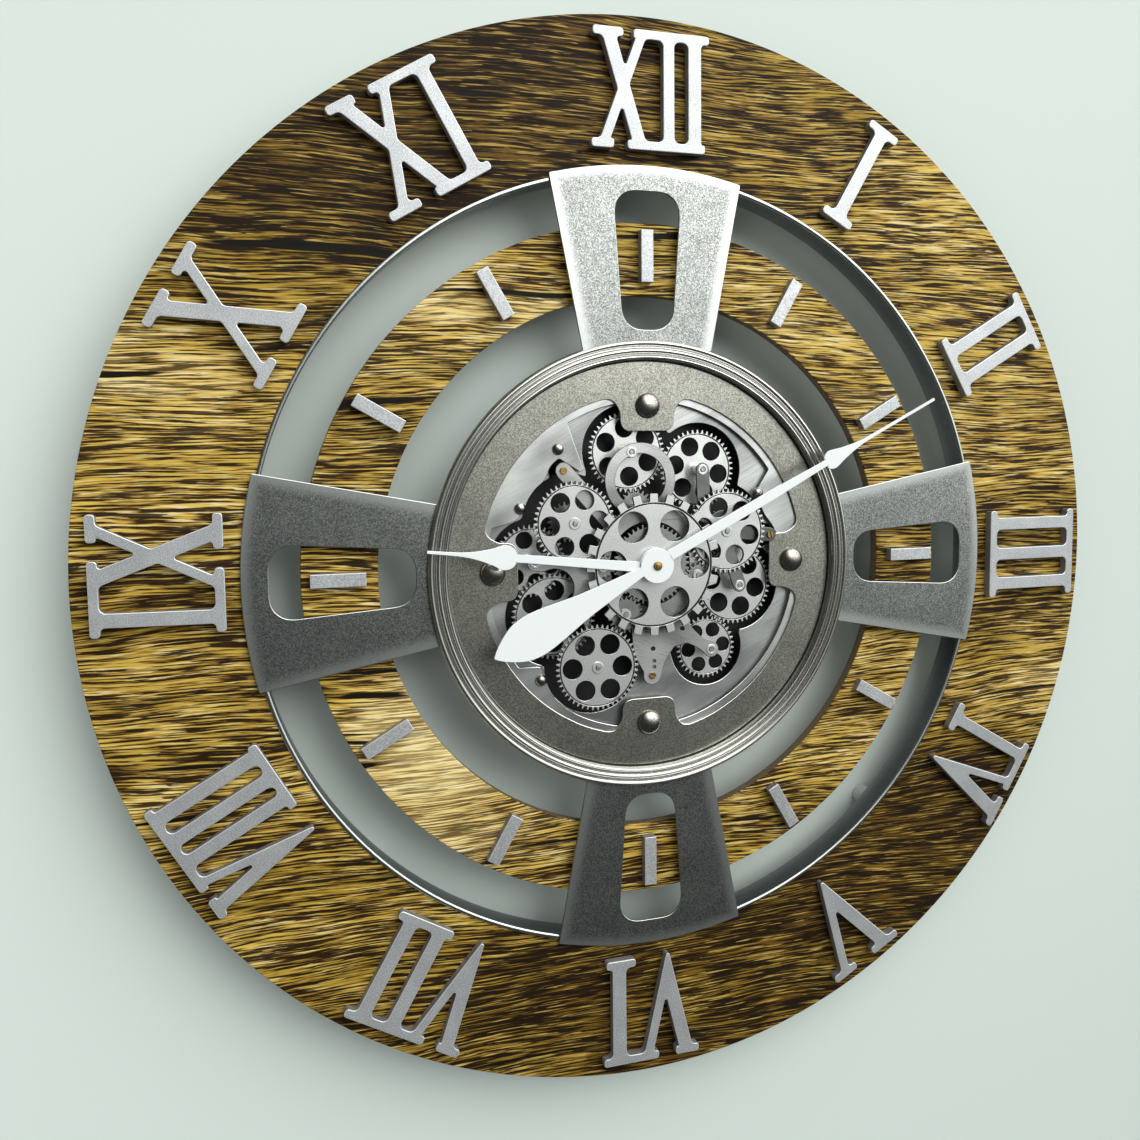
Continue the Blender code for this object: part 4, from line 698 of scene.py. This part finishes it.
plate_steel = brushed("brushed_plate", (0.6, 0.61, 0.6), (0.94, 0.95, 0.94), 28.0, 0.32, 0.85)
plate_edge = plain("plate_edge", (0.74, 0.74, 0.72), 0.25, 1.0)
plate_side = plain("plate_side", (0.05, 0.05, 0.05), 0.5, 0.8)
lug_pewter = speckled("lug_pewter", (0.17, 0.168, 0.135), (0.35, 0.345, 0.3), (0.62, 0.61, 0.56), 0.95, 0.33,
                      1100.0, 0.00003)
for node, face, finish, slot in (("lug_ring", LUG_FACE, lug_pewter, "pewter"),
                                 ("middle_plate", MID_FACE, plate_steel, "plate_steel")):
    loops = [refined(loop, PLATE_CORNER) for loop in front_loops(node)]
    sheet = cut_sheet(loops, face - PLATE_T, face, PLATE_EDGE, finish, plate_edge, plate_side, steps=2)
    seat([sheet], f"{node}_sheet", "clock_body", slot, node)

# Toothed wheels
# Nickel-plated steel wheels, stamped with sloping teeth. The nine large ones have six holes and a groove
# inside their rim. They turn on studs that stand on the pan's floor, and a motor behind it drives one.

AXIS = (0.0, 2.0)
MODULE = 1.31
TIP = 0.75
ROOT = 1.25
WHEEL_T = 2.4
LEVELS = {"front": 48.4, "deep": 33.6, "low": 29.6}
ARM_BACK = 45.6
ARM_FACE = 47.0
PIN_TOP = 47.6
PIN_R = 1.8
MOTOR_PIN_BACK = 13.5
STUD_BORE = 2.1
TOOTH_EDGE = 0.25
GROOVE_DEEP = 0.6
GROOVE_EDGE = 0.2
RIM_W = 0.5
HUB_SUNK = 0.5
HUB_RISE = 1.0
SLEEVE_R = 5.0
# one tooth: share of the pitch beside its middle, height over the pitch circle in modules
TOOTH = ((-0.3, -ROOT), (-0.26, -0.9), (-0.13, 0.6), (-0.08, TIP),
         (0.08, TIP), (0.13, 0.6), (0.26, -0.9), (0.3, -ROOT))
# name: level, driver, direction from it in degrees, teeth, driver's teeth, own pinion's teeth
TRAIN = {
    "right_idler": ("front", "centre_wheel", -15.0, 14, 45, 0),
    "left_idler": ("front", "centre_wheel", 180.5, 14, 45, 0),
    "lower_idler": ("front", "centre_wheel", 239.9, 20, 45, 0),
    "west_idler": ("deep", "centre_wheel", 207.2, 16, 45, 0),
    "upper_idler": ("deep", "centre_wheel", 99.6, 20, 45, 0),
    "right_wheel": ("front", "right_idler", 53.8, 48, 14, 21),
    "upper_left_wheel": ("front", "left_idler", 123.4, 46, 14, 22),
    "lower_left_wheel": ("front", "lower_idler", 239.9, 48, 20, 0),
    "left_wheel": ("deep", "west_idler", 207.2, 48, 16, 0),
    "top_wheel": ("deep", "upper_idler", 99.6, 45, 20, 0),
    "upper_right_wheel": ("deep", "top_wheel", -13.6, 45, 45, 0),
    "far_right_wheel": ("deep", "right_wheel", -73.2, 47, 21, 0),
    "lower_right_wheel": ("deep", "far_right_wheel", 243.9, 36, 47, 0),
    "far_left_wheel": ("low", "upper_left_wheel", 223.9, 40, 22, 0),
}
PINION_LEVEL = {"right_wheel": "deep", "upper_left_wheel": "low"}
FRONT_IDLERS = ("right_idler", "left_idler", "lower_idler")


def gear_loop(teeth, phase, centre):
    pitch = MODULE * teeth / 2
    return [polar(pitch + height * MODULE, phase + 360.0 * (k + share) / teeth, centre)
            for k in range(teeth) for share, height in TOOTH]


def train_places():
    """Each wheel's place and phase, worked out from its mesh with its driver."""
    places = {"centre_wheel": (AXIS, 0.0)}
    for name, (level, driver, direction, teeth, driver_teeth, _) in TRAIN.items():
        at, phase = places[driver]
        if driver in PINION_LEVEL and level == PINION_LEVEL[driver]:
            phase = 0.0
        share = (direction - phase) * driver_teeth / 360.0 % 1.0
        places[name] = (polar(MODULE * (teeth + driver_teeth) / 2, direction, at),
                        direction + 180.0 - (0.5 - share) * 360.0 / teeth)
    return places


def satin(name, dark, bright, metallic, roughness):
    """Smooth plated metal with faint clouds."""
    material, tree, shader = new_material(name)
    cloud = noise(tree, own_place(tree), (70.0, 70.0), 3.0)
    shine = ramp(tree, cloud, (0.35, roughness + 0.05), (0.65, roughness - 0.05))
    feed(tree, shader, {"Base Color": ramp(tree, cloud, (0.35, dark), (0.65, bright)), "Roughness": shine,
                        "Metallic": metallic})
    return material


PLACES = train_places()
nickel = satin("gear_nickel_face", (0.76, 0.76, 0.745), (0.97, 0.97, 0.955), 0.72, 0.26)
dull_nickel = satin("gear_nickel_dull", (0.3, 0.3, 0.29), (0.5, 0.5, 0.485), 0.95, 0.3)
nickel_edge = plain("gear_nickel_edge", (0.9, 0.9, 0.88), 0.22, 1.0)
# The wheels' sides are nearly black: painted shade that draws the dark outlines round the wheels.
nickel_side_in_painted_shade = plain("gear_nickel_painted_shade_side", (0.12, 0.12, 0.115), 0.42, 0.9)
# The groove's floor is nearly black: painted shade in the groove.
painted_groove_shade = plain("rim_groove_painted_shade", (0.03, 0.03, 0.03), 0.5, 0.5)
OPEN_WHEEL = (nickel, nickel_edge, nickel_side_in_painted_shade)
SMALL_WHEEL = (dull_nickel, nickel_edge, nickel_side_in_painted_shade)


def grooved(outline, holes, centre, groove_r, groove_w, back, front):
    """A sheet with a fine groove turned in its face: a full sheet, nearly black as painted shade in the
    groove, with a rim and a web on it.
    """
    floor = front - GROOVE_DEEP
    rim = [outline, circle(groove_r, 96, centre)]
    web = [circle(groove_r - groove_w, 96, centre), *holes]
    return [cut_sheet([outline, *holes], back, floor, 0.02, painted_groove_shade, painted_groove_shade, nickel_side_in_painted_shade),
            cut_sheet(rim, floor, front, GROOVE_EDGE, *OPEN_WHEEL),
            cut_sheet(web, floor, front, GROOVE_EDGE, *OPEN_WHEEL)]


def hub_washer(centre, low, high, outer=4.4, inner=STUD_BORE):
    profile = [(inner, low), (outer, low), (outer, high - 0.4), (outer - 0.4, high), (inner, high)]
    return spun(profile, nickel, centre, 32)


for name, (level, _, _, teeth, _, pinion) in TRAIN.items():
    at, phase = PLACES[name]
    back = LEVELS[level]
    front = back + WHEEL_T
    outline = gear_loop(teeth, phase, at)
    bore = circle(STUD_BORE, 24, at)
    if teeth < 30:
        parts = [cut_sheet([outline, bore], back, front, TOOTH_EDGE, *SMALL_WHEEL)]
    else:
        pitch = MODULE * teeth / 2
        holes = [circle(0.243 * pitch, 40, polar(0.62 * pitch, phase + 60.0 * k, at)) for k in range(6)]
        groove_r = MODULE * (teeth / 2 - ROOT) - RIM_W
        parts = grooved(outline, [*holes, bore], at, groove_r, 0.7 if teeth >= 40 else 0.45, back, front)
    parts.append(hub_washer(at, front - HUB_SUNK, front + HUB_RISE if level == "front" else ARM_BACK - SEAT))
    if pinion:
        low = LEVELS[PINION_LEVEL[name]]
        outline = gear_loop(pinion, 0.0, at)
        parts.append(cut_sheet([outline, bore], low, low + WHEEL_T, TOOTH_EDGE, *SMALL_WHEEL))
        parts.append(hub_washer(at, low + WHEEL_T - HUB_SUNK, back + HUB_SUNK, SLEEVE_R))
    if name == "lower_right_wheel":
        parts.append(rod(at, PIN_R, MOTOR_PIN_BACK, PIN_TOP, zinc))
    seat(parts, f"{name}_nickel", name, "gear_nickel", name)

# Middle wheels
# The long toothed drum drives the small wheels at two heights. The castellated wheel in front of it is a
# stamped sheet with 24 square teeth, six large holes and a groove. Both turn together on the bush.

BUSH_R = 4.5
DRUM_TEETH = 45
DRUM_BACK = LEVELS["deep"]
DRUM_FRONT = LEVELS["front"] + WHEEL_T
DRUM_HOLE_R = 5.0
DRUM_HOLE_AT = 18.3
DRUM_HUB_R = 8.8
CROWN_BACK = 53.2
CROWN_TEETH = 24
CROWN_TIP_R = 53.1
CROWN_ROOT_R = 46.8
CROWN_HALF = 0.46 * 180.0 / CROWN_TEETH
CROWN_HOLE_R = 11.7
CROWN_HOLE_AT = 33.0
CROWN_GROOVE_R = 46.5
CROWN_GROOVE_W = 1.2
# one side of a square tooth: radius, share of the half tooth's angle
CROWN_TOOTH = ((CROWN_ROOT_R, 1.35), (CROWN_ROOT_R + 0.9, 1.13), (CROWN_TIP_R - 0.6, 1.0),
               (CROWN_TIP_R, 0.86))

bush_hole = circle(BUSH_R + SEAT, 48, AXIS)
drum_holes = [circle(DRUM_HOLE_R, 32, polar(DRUM_HOLE_AT, 60.0 * k + 30.0, AXIS)) for k in range(6)]
drum = cut_sheet([gear_loop(DRUM_TEETH, 0.0, AXIS), bush_hole, *drum_holes], DRUM_BACK, DRUM_FRONT,
                 TOOTH_EDGE, *SMALL_WHEEL)
drum_hub = hub_washer(AXIS, DRUM_FRONT - HUB_SUNK, CROWN_BACK - SEAT, DRUM_HUB_R, BUSH_R + SEAT)
seat([drum, drum_hub], "centre_drum_wheel", "centre_train_wheel", "gear_nickel", "centre_wheel")

crown_outline = []
for k in range(CROWN_TEETH):
    a = 360.0 * k / CROWN_TEETH
    crown_outline += [polar(radius, a - share * CROWN_HALF, AXIS) for radius, share in CROWN_TOOTH]
    crown_outline += [polar(radius, a + share * CROWN_HALF, AXIS) for radius, share in reversed(CROWN_TOOTH)]
crown_holes = [bush_hole]
crown_holes += [circle(CROWN_HOLE_R, 64, polar(CROWN_HOLE_AT, 60.0 * k, AXIS)) for k in range(6)]
crown = grooved(crown_outline, crown_holes, AXIS, CROWN_GROOVE_R, CROWN_GROOVE_W, CROWN_BACK,
                CROWN_BACK + WHEEL_T)
seat(crown, "castellated_wheel", "centre_train_wheel", "gear_nickel", "crown_wheel")

# Lower plate
# The lowest of the three sheets, brushed steel painted darker than the middle plate as painted shade, held by
# the same rivets. Its inner edge runs 5 mm outside the wheels and leaves a black gap round them.

GAP = 5.0
LOW_FACE = 37.0
LOW_PLATE_R = 127.0
PLATE_R = 153.2
RIVET_AT_R = 120.5
RIVET_CLEAR = 5.0
POST_R = 3.3
POSTS = ((-67.3, 73.0), (100.0, 20.6), (1.3, -83.4))


def gap_edge(degrees):
    """How far the black gap round the wheels reaches in this direction."""
    rounds = [(PLACES[name][0], MODULE * (row[3] / 2 + TIP) + GAP) for name, row in TRAIN.items()
              if row[3] > 30]
    rounds += [(post, POST_R + GAP) for post in POSTS[:2]] + [(AXIS, CROWN_TIP_R)]
    a = math.radians(degrees)
    reach = 0.0
    for (x, z), radius in rounds:
        along = x * math.cos(a) + z * math.sin(a)
        across = -x * math.sin(a) + z * math.cos(a)
        if abs(across) < radius:
            reach = max(reach, along + math.sqrt(radius ** 2 - across ** 2))
    off_rivet = min(abs((degrees - 90.0 * k + 180.0) % 360.0 - 180.0) for k in range(4))
    return min(reach, RIVET_AT_R - RIVET_CLEAR if off_rivet < 3.5 else LOW_PLATE_R)


# The same brushed steel as the middle plate, made darker as painted shade.
low_steel_painted_shade = brushed("brushed_low_plate_painted_shade", (0.44, 0.45, 0.445), (0.82, 0.83, 0.82), 28.0, 0.34, 0.85)
low_edge = softened([polar(gap_edge(1.5 * k), 1.5 * k) for k in range(240)],
                    lambda turn: 2.0 if abs(turn) > 25.0 else 0.0)
lower_plate = cut_sheet([circle(PLATE_R, 160), low_edge], LOW_FACE - PLATE_T, LOW_FACE, PLATE_EDGE, low_steel_painted_shade,
                        plate_edge, plate_side, steps=2)
seat([lower_plate], "lower_plate_sheet", "clock_body", "plate_steel", "lower_plate")

# Pan
# A pressed steel pan, painted matt black, closes the middle behind the wheels. Its flange lies behind the
# bridges. The wheels' studs and the three posts of the train's bridges are riveted to its floor.

PAN_FLOOR = 22.0
PAN_BACK = 20.5
PAN_R = 155.0
PAN_WALL = 1.5
FLANGE_R = 167.5
FLANGE_BACK = 42.0
FLANGE_FACE = 43.5
MOTOR_HOLE_R = 2.4
RIVETED = 0.5
STUD_R = 3.2
FRONT_PIN_TOP = DRUM_FRONT + 1.6
HIDDEN_PIN_TOP = ARM_BACK - 0.6

pit_black = speckled("pit_black_paint", (0.008, 0.008, 0.008), (0.014, 0.014, 0.014), (0.03, 0.03, 0.03), 0.0,
                     0.55)
motor_spot = PLACES["lower_right_wheel"][0]
motor_hole = circle(MOTOR_HOLE_R, 24, motor_spot)
parts = [spun([(PAN_R - PAN_WALL, PAN_BACK), (PAN_R, PAN_BACK), (PAN_R, FLANGE_BACK), (FLANGE_R, FLANGE_BACK),
               (FLANGE_R, FLANGE_FACE), (PAN_R - PAN_WALL, FLANGE_FACE)], pit_black),
         cut_sheet([circle(PAN_R - 1.0, 128), circle(BUSH_R + 0.6, 32, AXIS), motor_hole], PAN_BACK,
                   PAN_FLOOR, 0.2, pit_black)]
for post in POSTS:
    parts.append(rod(post, POST_R, PAN_FLOOR - RIVETED, ARM_BACK - SEAT, plate_side))
for name, (level, _, _, teeth, _, _) in TRAIN.items():
    if name in FRONT_IDLERS or name == "lower_right_wheel":
        continue
    low = LEVELS[PINION_LEVEL.get(name, level)] - SEAT
    pin = FRONT_PIN_TOP if level == "front" else PIN_TOP if teeth > 20 else HIDDEN_PIN_TOP
    parts.append(spun([(0.0, PAN_FLOOR - RIVETED), (STUD_R, PAN_FLOOR - RIVETED), (STUD_R, low), (PIN_R, low),
                       (PIN_R, pin - 0.4), (PIN_R - 0.4, pin), (0.0, pin)], zinc, PLACES[name][0], 24))
seat(parts, "black_pan", "clock_body", "pit_black", "centre_pan")

# Bridges of the train
# Three stamped plates with rounded arms carry the outer ends of the studs: a collar with a crescent and
# three arms, a three-armed plate at the right, and a broad one below. Screws hold them on the posts.

ARM_EDGE = 0.45
ARM_CORNER = 3.5
IDLER_PIN_BACK = 46.3
SCREW_R = 2.7
SCREW_T = 1.5
# small holes of the lower bridge: radius, place
ARM_HOLES = ((1.6, (26.0, -49.0)), (1.5, (2.0, -63.0)), (1.1, (3.0, -72.5)), (1.1, (3.0, -77.0)))
WASHER = ((STUD_BORE, -0.1), (4.0, -0.1), (4.0, 0.3), (3.7, 0.5), (2.4, 0.5), (STUD_BORE, 0.3))
WASHER_ON = ("far_left_wheel", "left_wheel", "top_wheel", "upper_right_wheel", "far_right_wheel",
             "lower_right_wheel")

arm_steel = brushed("arm_steel", (0.56, 0.56, 0.55), (0.8, 0.8, 0.785), -20.0, 0.3, 0.7)
arm_dark = brushed("arm_dark_steel", (0.2, 0.2, 0.2), (0.36, 0.36, 0.355), -20.0, 0.3, 0.9)
# The arms' broken edges are nearly black: painted shade for the dark outlines round the arms.
arm_edge_painted_shade = plain("arm_edge_painted_shade", (0.14, 0.14, 0.135), 0.35, 1.0)
for node in ("centre_bridge", "right_bridge", "lower_bridge"):
    loops = [refined(loop, ARM_CORNER, 32.0) for loop in front_loops(node, ARM_FACE)]
    if node == "lower_bridge":
        loops += [circle(radius, 20, spot) for radius, spot in ARM_HOLES]
    finish = arm_dark if node == "right_bridge" else arm_steel
    parts = [cut_sheet(loops, ARM_BACK, ARM_FACE, ARM_EDGE, finish, arm_edge_painted_shade, plate_side, steps=2)]
    if node == "centre_bridge":
        parts += [rod(PLACES[name][0], PIN_R, IDLER_PIN_BACK, FRONT_PIN_TOP, zinc) for name in FRONT_IDLERS]
    seat(parts, f"train_{node}", "clock_body", "plate_steel", node)


def slotted(centre, turn):
    """A cheese-head screw: a disc with two halves on it and the slot between them."""
    low = ARM_FACE - 0.1
    parts = [rod(centre, SCREW_R, low, low + 0.5 * SCREW_T, brass, 32)]
    gap = math.degrees(math.asin(0.17))
    for side in (0.0, 180.0):
        half = turned(arc(SCREW_R, gap + side, 180.0 - gap + side, 20), turn)
        half = [(x + centre[0], z + centre[1]) for x, z in half]
        parts.append(cut_sheet([half], low + 0.4 * SCREW_T, low + SCREW_T, 0.18 * SCREW_T, brass))
    return parts


brass = plain("screw_brass", (0.45, 0.3, 0.11), 0.32, 1.0)
parts = []
for spot, turn in zip(POSTS, (30.0, 100.0, 155.0)):
    parts += slotted(spot, turn)
seat(parts, "post_screws", "clock_body", "brass")
washers = [spun(WASHER, nickel, PLACES[name][0], 32, ARM_FACE) for name in WASHER_ON]
seat(washers, "stud_washers", "clock_body", "plate_steel")

# Rivets and dome screws
# Four large dome rivets of blued steel through the lugs, and four small dome screws in the plate behind.

RIVET_R = 9.5
RIVET_RISE = 5.7
RIVET_SEAT = 0.02
DOME_R = 4.4
DOME_RISE = 3.2
DOMES = ((-69.5, 88.8), (-98.8, 46.0), (92.4, 52.7), (-84.9, -82.0))


def domed(centre, radius, low, height, steps, rise):
    """A low dome on a flat foot."""
    profile = [(0.0, low), (radius, low), (radius, low + 0.12 * height)]
    for k in range(1, rise + 1):
        a = math.pi / 2 * k / rise
        across = radius * math.cos(a) if k < rise else 0.0
        profile.append((across, low + height * (0.12 + 0.88 * math.sin(a))))
    return spun(profile, rivet_steel, centre, steps)


rivet_steel = speckled("rivet_steel", (0.26, 0.235, 0.205), (0.42, 0.385, 0.345), (0.6, 0.565, 0.52), 1.0,
                       0.22, 800.0, 0.00004)
for k, node in enumerate(("rivet_3", "rivet_12", "rivet_9", "rivet_6")):
    dome = domed(polar(RIVET_AT_R, 90.0 * k), RIVET_R, LUG_FACE + RIVET_SEAT, RIVET_RISE, 64, 12)
    seat([dome], f"dome_{node}", "clock_body", "rivet_metal", node)
small = [domed(spot, DOME_R, MID_FACE - 0.1, DOME_RISE, 40, 8) for spot in DOMES]
seat(small, "small_dome_screws", "clock_body", "rivet_metal")

# Hands
# White enamelled sheet hands: a spade hour hand, and a long minute hand with a leaf-shaped counterweight.
# Both have a round hub and sit on the movement's pipes under a small brass nut.

HAND_HUB_R = 13.0
HAND_T = 1.2
HAND_EDGE = 0.3
HOUR_BACK = 58.4
MINUTE_BACK = 61.2
MINUTE_ANGLE = 90.0 - 63.0
HOUR_ANGLE = 90.0 - 276.25
PIPE_BACK = 50.5
PIPE_SUNK = 0.2
PIPE_BORE = 2.2
PIPE_R = 3.2
# the blades run this far beside the middle of the hub
BLADE_ASIDE = 2.0
# each side is (distance from the middle, half width)
HOUR_SIDE = ((12.0, 3.8), (60.0, 3.3), (104.0, 2.9), (106.5, 3.6), (108.5, 6.3), (111.0, 8.0),
             (114.0, 8.9), (117.0, 8.9), (120.0, 7.7), (124.0, 6.1), (131.0, 4.1), (141.0, 2.1),
             (152.0, 1.35), (171.0, 1.1))
MINUTE_SIDE = ((12.0, 4.1), (100.0, 3.8), (130.0, 3.15), (156.5, 2.5), (158.0, 3.8), (159.5, 5.6),
               (162.0, 6.9), (165.0, 7.3), (169.0, 6.4), (173.0, 5.2), (178.0, 4.1), (184.0, 3.0),
               (190.0, 2.2), (204.0, 1.35), (267.0, 1.15))
TAIL_SIDE = ((-12.4, 3.6), (-20.0, 4.4), (-41.0, 6.7), (-63.0, 9.4), (-83.0, 13.1), (-97.0, 15.4),
             (-107.0, 16.0), (-116.0, 14.7), (-123.0, 11.9), (-130.0, 7.7), (-135.0, 4.0), (-138.5, 0.5))
NUT = ((0.0, 0.0), (3.4, 0.0), (3.4, 0.9), (2.9, 1.3), (1.7, 1.4), (1.6, 1.9), (1.2, 2.1), (0.0, 2.1))


def flowing(points, steps=5):
    """A smooth line through the points."""
    line = []
    for i in range(len(points) - 1):
        before = Vector(points[max(i - 1, 0)])
        a = Vector(points[i])
        b = Vector(points[i + 1])
        after = Vector(points[min(i + 2, len(points) - 1)])
        for k in range(steps):
            t = k / steps
            spot = 0.5 * (2 * a + (b - before) * t + (2 * before - 5 * a + 4 * b - after) * t * t
                          + (3 * a - before - 3 * b + after) * t ** 3)
            line.append(tuple(spot))
    return line + [points[-1]]


def hand(sides, angle, back, bore, pipe_r):
    """A hand from its blades, its round hub and the pipe behind it."""
    parts = []
    for side in sides:
        line = flowing(side)
        blade = line + [(along, -half) for along, half in reversed(line)]
        blade = turned([(along, half + BLADE_ASIDE) for along, half in blade], angle, AXIS)
        parts.append(cut_sheet([blade], back, back + HAND_T, HAND_EDGE, white, steps=2))
    hub = [circle(HAND_HUB_R, 96, AXIS)]
    parts.append(cut_sheet(hub, back, back + HAND_T, HAND_EDGE, white, steps=2))
    top = back + PIPE_SUNK
    parts.append(spun([(bore, PIPE_BACK), (pipe_r, PIPE_BACK), (pipe_r, top), (bore, top)], zinc, AXIS, 32))
    return parts


white = plain("white_enamel", (0.93, 0.96, 0.97), 0.22, 0.0, 0.6)
hour_hand = hand([HOUR_SIDE], HOUR_ANGLE, HOUR_BACK, PIPE_BORE, PIPE_R)
seat(hour_hand, "hour_hand_white", "hour_hand", "hand_white", "hour_hand")
minute_hand = hand([MINUTE_SIDE, TAIL_SIDE], MINUTE_ANGLE, MINUTE_BACK, 0.0, PIN_R)
seat(minute_hand, "minute_hand_white", "minute_hand", "hand_white", "minute_hand")
nut = spun(NUT, brass, AXIS, 48, MINUTE_BACK + HAND_T - 0.05)
seat([nut], "brass_hand_nut", "minute_hand", "brass", "hand_nut")

# Movement, motor and battery box
# Moulded black plastic cases behind the pan: the quartz movement with its threaded brass bush, the motor of
# the wheels, and the battery box with its sliding lid. They hang on the pan's back.

CASE_FRONT = 20.2
CASE_BACK = 4.6
CASE_HALF = 28.0
COVER_BACK = 4.2
COVER_HALF = 24.0
BUSH_BACK = 20.0
THREAD_TURNS = 14
THREAD_PITCH = 2.6
THREAD = ((3.5, 0.0), (BUSH_R - 0.25, 0.0), (BUSH_R, 0.65), (BUSH_R, 1.95), (BUSH_R - 0.25, 2.6), (3.5, 2.6))
KNOB_AT = (12.3, 2.0)
KNOB_HOLE_R = 8.2
KNOB_R = 7.0
KNOB_FLUTE_R = 6.4
KNOB_BACK = 1.3
KNOB_FRONT = 3.9
MOTOR_HALF = 21.0
MOTOR_BACK = 6.2
MOTOR_STEP = 13.0
BATTERY_AT = (-48.0, -58.0)
LID_AT = (-50.5, -58.0)
GRIP_AT = (-70.0, -58.0)
GRIP_STEP = 2.4


def rounded_box(half_x, half_z, corner, centre):
    cx, cz = centre
    loop = []
    for sx, sz, start in ((1, 1, 0.0), (-1, 1, 90.0), (-1, -1, 180.0), (1, -1, 270.0)):
        centre = (cx + sx * (half_x - corner), cz + sz * (half_z - corner))
        loop += arc(corner, start, start + 90.0, 6, centre)
    return loop


plastic = speckled("moulded_black", (0.03, 0.03, 0.032), (0.045, 0.045, 0.047), (0.07, 0.07, 0.072), 0.0,
                   0.45, 2500.0)
box = rounded_box(CASE_HALF, CASE_HALF, 4.0, AXIS)
cover = [rounded_box(COVER_HALF, COVER_HALF, 3.0, AXIS), circle(KNOB_HOLE_R, 40, KNOB_AT)]
case = [cut_sheet([box], CASE_BACK, CASE_FRONT, 1.2, plastic, steps=3),
        cut_sheet(cover, COVER_BACK, COVER_BACK + 1.0, 0.3, plastic),
        rod(KNOB_AT, 1.5, 1.4, 5.0, plastic)]
for k in range(THREAD_TURNS):
    case.append(spun(THREAD, brass, AXIS, 32, BUSH_BACK + THREAD_PITCH * k))
seat(case, "quartz_movement_case", "clock_body", "black_plastic", "quartz_movement")

ribs = [polar(KNOB_R if k % 2 == 0 else KNOB_FLUTE_R, 15.0 * k, KNOB_AT) for k in range(24)]
knob = cut_sheet([ribs, circle(1.8, 24, KNOB_AT)], KNOB_BACK, KNOB_FRONT, 0.3, plastic)
seat([knob], "ribbed_knob", "setting_knob", "black_plastic", "setting_knob")

motor_box = rounded_box(MOTOR_HALF, MOTOR_HALF, 3.0, motor_spot)
motor = [cut_sheet([motor_box, motor_hole], MOTOR_STEP, CASE_FRONT, 0.8, plastic, steps=2),
         cut_sheet([motor_box], MOTOR_BACK, MOTOR_STEP + 0.6, 0.8, plastic, steps=2)]
seat(motor, "gear_motor_case", "clock_body", "black_plastic", "gear_motor")

battery = [cut_sheet([rounded_box(30.0, 17.0, 3.0, BATTERY_AT)], 6.0, CASE_FRONT, 1.0, plastic, steps=2),
           cut_sheet([rounded_box(25.5, 14.0, 2.0, LID_AT)], 5.2, 6.5, 0.4, plastic)]
for k in range(4):
    grip = rounded_box(0.5, 8.0, 0.4, (GRIP_AT[0] + GRIP_STEP * k, GRIP_AT[1]))
    battery.append(cut_sheet([grip], 5.2, 5.9, 0.1, plastic))
seat(battery, "battery_case", "clock_body", "black_plastic", "battery_box")

# Hanger and spacers
# A strap of galvanised steel behind the top tab, bent back to the wall, with a keyhole for the wall screw.
# Two rubber feet behind the lower tabs hold the clock parallel to the wall.

STRAP_T = 1.8
STRAP_HALF = 15.0
STRAP_LOW = 292.5
STRAP_BEND = 313.7
STRAP_TOP = 359.7
STRAP_FRONT = 30.4
EYE_AT = (0.0, 332.1)
EYE_R = 5.0
SLOT_R = 2.2
SLOT_RISE = 11.0
FOOT_AT_R = 302.0
FOOT = ((0.0, 0.0), (7.2, 0.0), (8.0, 0.8), (8.0, 29.6), (7.2, STRAP_FRONT), (0.0, STRAP_FRONT))


def strap(low, high, corner):
    return rounded_box(STRAP_HALF, (high - low) / 2, corner, (0.0, (high + low) / 2))


galvanised = speckled("galvanised", (0.4, 0.42, 0.43), (0.52, 0.54, 0.55), (0.66, 0.68, 0.69), 1.0, 0.4,
                      260.0)
keyhole = arc(EYE_R, 115.0, 425.0, 24, EYE_AT) + arc(SLOT_R, 0.0, 180.0, 10, (0.0, EYE_AT[1] + SLOT_RISE))
parts = [cut_sheet([strap(STRAP_BEND - STRAP_T, STRAP_TOP, 3.0), keyhole], 0.0, STRAP_T, 0.3, galvanised),
         cut_sheet([strap(STRAP_BEND - STRAP_T, STRAP_BEND, 0.4)], 0.6, STRAP_FRONT, 0.2, galvanised),
         cut_sheet([strap(STRAP_LOW, STRAP_BEND, 1.0)], STRAP_FRONT - STRAP_T, STRAP_FRONT, 0.3, galvanised)]
seat(parts, "hanger_strap", "clock_body", "hanger_steel", "wall_hanger")

rubber = plain("grey_rubber", (0.5, 0.52, 0.5), 0.6)
for node, degrees in (("spacer_left", 225.0), ("spacer_right", 315.0)):
    foot = spun(FOOT, rubber, polar(FOOT_AT_R, degrees), 48)
    seat([foot], f"rubber_{node}", "clock_body", "foot_rubber", node)
